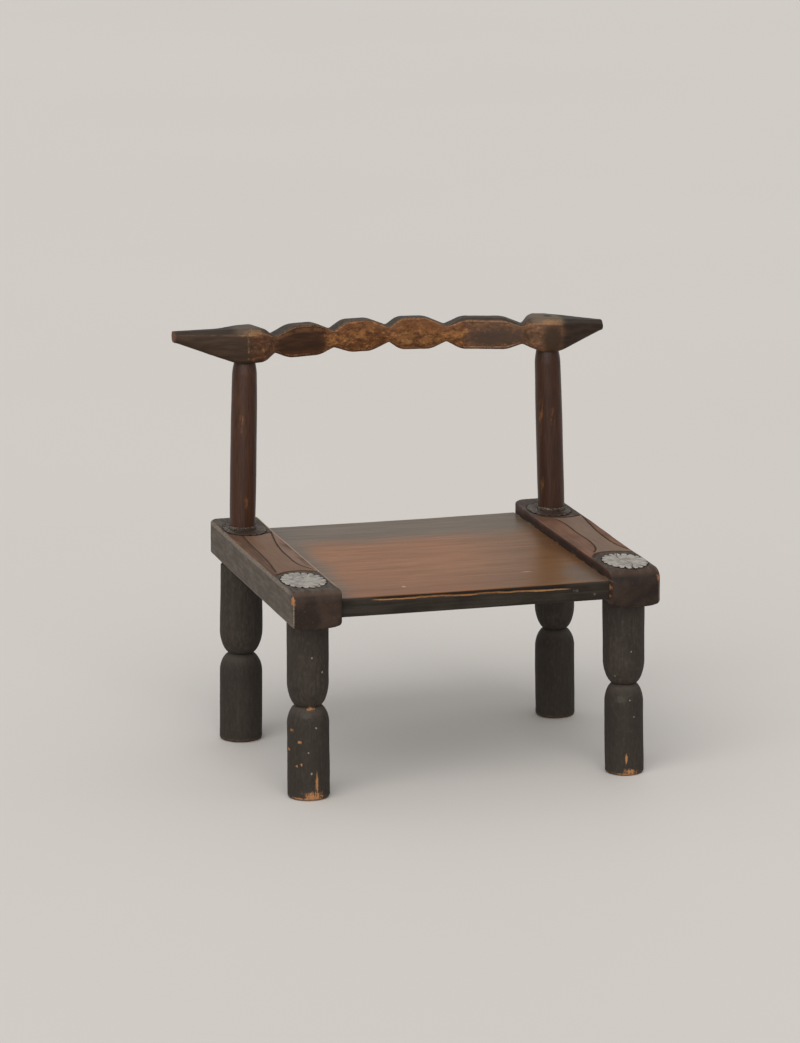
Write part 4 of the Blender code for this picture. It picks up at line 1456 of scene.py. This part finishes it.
def seat_edge_colour(finish, streak, bands, cloud):
    """Nearly black, with an orange split that runs along under the top edge."""
    low, high = node_box("seat_board")
    (start, first), (end, last) = SPLIT_START, SPLIT_END
    slope = (last - first) / (end - start)
    below_split = (high.z - first + slope * (CHAIR_X + start)) - finish.z - finish.x * slope
    below_split = below_split + (cloud - 0.5) * 0.007
    along = finish.x.window(CHAIR_X + start, CHAIR_X + end, 0.008) * finish.y.fade(0.0, low.y)
    split = finish.line(below_split, 0.0013) * along * bands.fade(0.25, 0.45)
    edge = finish.layered(
        finish.mix((cloud + streak * 0.3).fade(0.4, 0.9), (0.017, 0.0130, 0.0097), (0.034, 0.0265, 0.0205)),
        (finish.crumbs.fade(0.16, 0.26) * 0.4, (0.11, 0.085, 0.065)),
        # painted shade: darker between the split and the chipped top edge that overhangs it
        (along * below_split.fade(0.0, -0.002), (0.012, 0.0085, 0.0065)),
        (split * 0.9, finish.mix(bands.fade(0.4, 0.6), (0.33, 0.140, 0.045), (0.27, 0.150, 0.060))),
    )
    for across, drop in ((0.1357, 0.0099), (0.1617, 0.0157)):
        speck = finish.patch((CHAIR_X + across, low.y, high.z - drop), (0.005, 0.004, 0.003), raggedness=2.6)
        edge = edge.mix(speck * finish.crumbs.fade(0.0, 0.12) * 0.8, (0.17, 0.14, 0.11))
    return edge


def crest_look():
    finish = Finish("crest_wood", specular=0.15)
    heads = head_places()
    faces = finish.facing()
    fibres = finish.noise((24, 500, 500), 4.0, 0.6)
    grain = finish.noise((12, 170, 170), 4.0, 0.6)
    speckle = finish.noise((420, 420, 420), 4.0, 0.72)
    cloud = finish.noise((50, 60, 60), 3.0)
    colour = crest_face_colour(finish, heads, grain.fade(0.35, 0.65), speckle, cloud)
    colour = colour.mix(faces[2].fade(0.45, 0.75), crest_top_colour(finish, heads, fibres))
    colour = crest_wear(finish, heads, colour, (-faces[1]).fade(0.35, 0.7), speckle)
    relief = fibres * 0.5 + speckle * 0.5
    return finish.paint(colour, roughness=0.48 + 0.15 * speckle, height=relief, depth=0.0005)


def crest_face_colour(finish, heads, streak, speckle, cloud):
    """From the left: a dark horn, a reddish head, a nearly black lobe, two golden lobes, a lobe with a dark
    middle, a rusty head with a dark knob, and a horn painted darker as shade."""
    left, right = heads["left"], heads["right"]
    necks = neck_places(heads)
    lobes = [(start + end) / 2 for start, end in zip(necks, necks[1:])]
    level = (left.z + right.z) / 2 + HEAD_HEIGHT / 2
    x = finish.x + (cloud - 0.5) * 0.018 + (speckle - 0.5) * 0.026
    rise = finish.attribute("face_rise")
    mottle = finish.noise((120, 240, 240), 5.0, 0.72)
    specks = mottle.fade(0.50, 0.60)
    glints = mottle.fade(0.45, 0.36)
    # painted shade: the right horn, which turns away from the light, darker
    shaded_horn = finish.x.fade(right.x, right.x + 0.02)
    head = x.window(left.x + 0.004, necks[0] + 0.008, 0.004)
    lobe = x.window(necks[0] + 0.006, necks[1] - 0.004, 0.008)
    low_lobe = lobe * (finish.z + finish.ragged * 0.010).fade(level - 0.006, level - 0.018)
    golden = x.window(necks[1] - 0.010, lobes[3] - 0.022, 0.008)
    middle_lobe = x.window(necks[2], necks[3], 0.008)
    brown = x.window(lobes[3] - 0.026, right.x + 0.012, 0.010)
    worn_dark = finish.patch((lobes[3] + 0.013, left.y, level - 0.006), (0.046, 0.2, 0.0142), raggedness=1.4)
    streaks = finish.patch((lobes[2], left.y, level - 0.003), (0.042, 0.2, 0.0060), raggedness=1.8)
    knob = finish.patch((right.x + 0.001, right.y, level - 0.009), (0.0165, 0.2, 0.0235), raggedness=0.5)
    coloured = ((golden + brown * 0.7) * (1.0 - knob) * (1.0 - worn_dark * 0.9)).below(1.0)

    def grained(dark, light):
        return finish.mix(streak, dark, light)

    return finish.layered(
        grained((0.031, 0.0175, 0.0100), (0.049, 0.0275, 0.0155)),
        (shaded_horn, grained((0.020, 0.0115, 0.0072), (0.033, 0.0195, 0.0125))),
        (head, grained((0.052, 0.0220, 0.0100), (0.105, 0.0460, 0.0220))),
        (head * specks * 0.5, (0.030, 0.0145, 0.0080)),
        (head * glints * 0.6, (0.200, 0.088, 0.0380)),
        (lobe, grained((0.027, 0.0112, 0.0048), (0.048, 0.0195, 0.0085))),
        (low_lobe * 0.6, (0.090, 0.034, 0.013)),
        (golden, grained((0.128, 0.048, 0.0130), (0.230, 0.096, 0.0310))),
        (golden * cloud.fade(0.48, 0.60) * 0.8, (0.078, 0.027, 0.0080)),
        (golden * cloud.fade(0.47, 0.36) * 0.7, (0.300, 0.136, 0.0440)),
        (middle_lobe * 0.35, (0.250, 0.108, 0.0360)),
        (golden * rise.fade(0.50, 0.85) * 0.65, (0.112, 0.040, 0.0145)),
        (golden * rise.fade(0.26, 0.04) * 0.6, (0.105, 0.038, 0.0115)),
        (brown, grained((0.078, 0.040, 0.0220), (0.142, 0.070, 0.0350))),
        (worn_dark * 0.9, (0.050, 0.0300, 0.0205)),
        (streaks * streak * 0.85, (0.052, 0.0225, 0.0095)),
        (knob * 0.95, (0.036, 0.0190, 0.0105)),
        (specks * coloured * 0.75, (0.042, 0.0165, 0.0066)),
        (glints * coloured * 0.6, (0.330, 0.165, 0.0640)),
        (middle_lobe * rise.fade(0.55, 0.85) * 0.5, (0.120, 0.044, 0.0165)),
    )


def crest_top_colour(finish, heads, fibres):
    """Dark grey-brown, tan on the heads, with the dark end of the right post's tenon."""
    left, right = heads["left"], heads["right"]
    greyed = finish.mix(fibres.fade(0.3, 0.7), (0.032, 0.0225, 0.0160), (0.062, 0.0455, 0.0335))
    for axis, reach, strength in ((left.x + 0.002, 0.020, 0.4), (right.x - 0.004, 0.022, 0.7)):
        tan = (finish.x + finish.ragged * 0.012).window(axis - reach, axis + reach, 0.007)
        greyed = greyed.mix(tan * strength, (0.150, 0.108, 0.072))
    horns = finish.x.fade(left.x - 0.008, left.x - 0.024)
    horns = horns + finish.x.fade(right.x + 0.012, right.x + 0.028)
    across, back, _ = finish.parts(finish.vector("SUBTRACT", finish.place, (right.x, right.y, 0.0)))
    from_axis = finish.length(finish.joined(across, back, 0.0))
    tenon = (from_axis + finish.ragged * 0.001).fade(0.0062, 0.0050)
    return finish.layered(greyed, (horns * 0.6, (0.028, 0.0190, 0.0132)), (tenon * 0.85, RECESS_SHADOW_AND_TENON_END))


def crest_wear(finish, heads, colour, front, speckle):
    """Orange-brown wear on the edges, strongest along the lobes."""
    left, right = heads["left"], heads["right"]
    necks = neck_places(heads)
    bare = (0.270, 0.142, 0.070)
    worn = speckle.fade(0.40, 0.56)
    patchy = finish.noise((70, 70, 70), 3.0).fade(0.42, 0.56)
    lobed = finish.x.window(necks[0] - 0.006, necks[4] + 0.004, 0.006)
    under_top = finish.attribute("face_rise").window(0.80, 0.99, 0.06) * lobed
    top_rim = finish.attribute("top_arris").fade(0.15, 0.8) * finish.x.fade(necks[3] + 0.016, necks[3])
    top_rim = (top_rim + finish.attribute("face_arris").fade(0.4, 0.9)).below(1.0)
    foot_rim = finish.attribute("foot_arris").fade(0.3, 0.9)
    flaked = finish.x.window(necks[3] + 0.026, necks[4] - 0.004, 0.008)
    layers = [
        (under_top * (0.35 + worn * 0.3) * patchy, (0.150, 0.068, 0.027)),
        (top_rim * lobed * worn * 0.7, bare),
        (foot_rim * lobed * worn * patchy * 0.75, bare),
        (foot_rim * flaked * worn * 0.7, (0.400, 0.235, 0.140)),
    ]
    for axis, offset, low_z, high_z in ((left, 0.0, 0.006, 0.036), (right, 0.0135, 0.024, 0.040)):
        upright = finish.line(finish.x - axis.x - offset + finish.ragged * 0.003, 0.0017) * front
        upright = upright * finish.z.window(axis.z + low_z, axis.z + high_z, 0.004)
        layers.append((upright * (0.3 + worn * 0.7) * patchy * 0.5, bare))
    for axis, across, rise, half_size in (
        (left, 0.010, HEAD_HEIGHT - 0.005, (0.015, 0.012, 0.0050)),
        (right, -0.002, HEAD_HEIGHT - 0.005, (0.017, 0.012, 0.0034)),
        (left, 0.022, 0.0170, (0.0026, 0.010, 0.0030)),
    ):
        place = (axis.x + across, axis.y - HEAD_DEPTH / 2, axis.z + rise)
        patch = finish.patch(place, half_size, raggedness=2.4) * speckle.fade(0.38, 0.52)
        layers.append((patch * 0.65, (0.290, 0.145, 0.062)))
    ridge = finish.attribute("face_arris").fade(0.2, 0.8)
    horn = finish.x.fade(left.x, left.x - 0.02) * patchy
    layers.append((ridge * horn * 0.45, (0.105, 0.066, 0.038)))
    for start, end in ((left.x - 0.012, necks[0] - 0.004), (necks[4] + 0.004, right.x + 0.014)):
        head = finish.x.window(start, end, 0.006) * worn
        layers.append((ridge * head * 0.6, bare))
    tip = left.x - HORN_REACH["left"]
    layers.append((finish.x.fade(tip + 0.003, tip + 0.001) * 0.8, (0.105, 0.046, 0.025)))
    return finish.layered(colour, *layers)


def plate_look(side):
    finish = Finish(f"{side}_plate_tin", specular=0.4)
    middle = middle_of(f"front_{side}_plate")
    dents = finish.noise(130, 4.0, 0.6)
    wrinkles = finish.noise((300, 110, 200), 4.0, 0.7, 1.2)
    grime = (finish.attribute("spread") + (wrinkles - 0.5) * 0.5).fade(0.75, 1.05)
    # painted shade along a crease in the tin
    crease = finish.x - middle.x - (finish.y * 95.0).sine() * PLATE_CREASE_SHADE[side]
    crease = finish.line(crease, 0.0011) * dents.fade(0.35, 0.5)
    colour = finish.layered(
        finish.mix(dents.fade(0.34, 0.62), (0.245, 0.216, 0.182), (0.445, 0.406, 0.352)),
        (wrinkles.fade(0.58, 0.70) * 0.5, (0.150, 0.130, 0.108)),
        (grime * 0.55, (0.150, 0.128, 0.104)),
        (crease * 0.85, (0.075, 0.060, 0.048)),
    )
    finish.shader.inputs["Metallic"].default_value = 0.3
    relief = dents * 0.7 + wrinkles * 0.3
    return finish.paint(colour, roughness=0.42 + 0.25 * dents, height=relief, depth=0.0016)


def collar_look(side):
    finish = Finish(f"{side}_collar_tin", specular=0.3)
    node = f"rear_{side}_collar"
    middle = middle_of(node)
    floor = tin_floor(side, node)
    dents = finish.noise(190, 4.0, 0.65)
    wrinkles = finish.noise((240, 90, 240), 5.0, 0.7, 1.4)
    sides = (finish.x - middle.x).size().fade(0.010, 0.024)
    front = finish.patch((middle.x - 0.002, middle.y - 0.026, middle.z), (0.022, 0.018, 0.03), raggedness=0.8)
    sleeve = finish.z.fade(floor + 0.0035, floor + 0.0055)
    # bright tips of the turned-up tabs round the post: worn metal, and partly painted glints
    glints_and_wear = finish.noise(420, 2.0).fade(0.52, 0.62)
    green = finish.patch((middle.x + 0.020, middle.y - 0.012, middle.z), (0.010, 0.020, 0.02), raggedness=1.4)
    colour = finish.layered(
        finish.mix(dents.fade(0.3, 0.7), (0.045, 0.031, 0.023), (0.098, 0.074, 0.056)),
        (sides * wrinkles.fade(0.46, 0.64) * 0.75, (0.200, 0.165, 0.130)),
        (front * 0.85, (0.040, 0.021, 0.0135)),
        # worn tips and painted glints on the turned-up sleeve
        (sleeve * glints_and_wear * 0.7, (0.290, 0.230, 0.165)),
        (green * COLLAR_GREEN[side], (0.105, 0.088, 0.066)),
    )
    finish.shader.inputs["Metallic"].default_value = 0.25
    relief = dents * 0.5 + wrinkles * 0.5
    return finish.paint(colour, roughness=0.45 + 0.25 * dents, height=relief, depth=0.0024)


def floor_look():
    finish = Finish("pale_floor", specular=0.5)
    cloud = finish.noise(0.8, 2.0)
    colour = finish.mix(cloud, (0.625, 0.583, 0.533), (0.660, 0.617, 0.567))
    return finish.paint(colour, roughness=0.7)


def studio():
    scene = bpy.context.scene
    scene.view_settings.view_transform = "Standard"
    world = bpy.data.worlds.new("studio")
    world.use_nodes = True
    sky = world.node_tree.nodes["Background"]
    sky.inputs["Color"].default_value = SKY_COLOUR
    sky.inputs["Strength"].default_value = SKY_STRENGTH
    scene.world = world

    bpy.ops.mesh.primitive_circle_add(vertices=FLOOR_SIDES, radius=FLOOR_RADIUS, fill_type="NGON")
    floor = bpy.context.object
    floor.name = "floor"
    floor.data.materials.append(floor_look())

    data = bpy.data.lights.new("window", "SUN")
    data.angle = WINDOW_ANGLE
    data.energy = WINDOW_STRENGTH
    window = bpy.data.objects.new("window", data)
    window.rotation_euler = Vector(WINDOW_DIRECTION).to_track_quat("Z", "Y").to_euler()
    scene.collection.objects.link(window)

    data = bpy.data.cameras.new("camera")
    data.sensor_width = SENSOR_WIDTH
    data.lens = SENSOR_WIDTH * FOCAL_LENGTH_IN_PIXELS / IMAGE_HEIGHT_IN_PIXELS
    data.clip_end = VIEW_DISTANCE
    camera = bpy.data.objects.new("camera", data)
    camera.location = CAMERA_PLACE
    camera.rotation_euler = (math.pi / 2 - CAMERA_PITCH, 0.0, -CAMERA_YAW)
    scene.collection.objects.link(camera)
    scene.camera = camera


def chair():
    worked = hand_worked_tree()
    cut = cut_lines_tree()
    toothed = toothed_tin_tree()
    for corner in CORNERS:
        leg(corner, worked, leg_look(corner))
    for side in SIDES:
        side_rail(side, worked, cut, rail_look(side))
        back_post(side, worked, post_look(side))
        tin_piece(f"front_{side}_plate", toothed, plate_look(side))
        foot = on_axis(axis_of(f"{side}_back_post"), node_box(f"{side}_rail")[1].z)
        hole = (foot, POST_FOOT_RADIUS[side] + COLLAR_GAP, COLLAR_SLEEVE)
        tin_piece(f"rear_{side}_collar", toothed, collar_look(side), hole)
    seat_board(worked, seat_look())
    crest_rail(worked, crest_look())


chair()
studio()
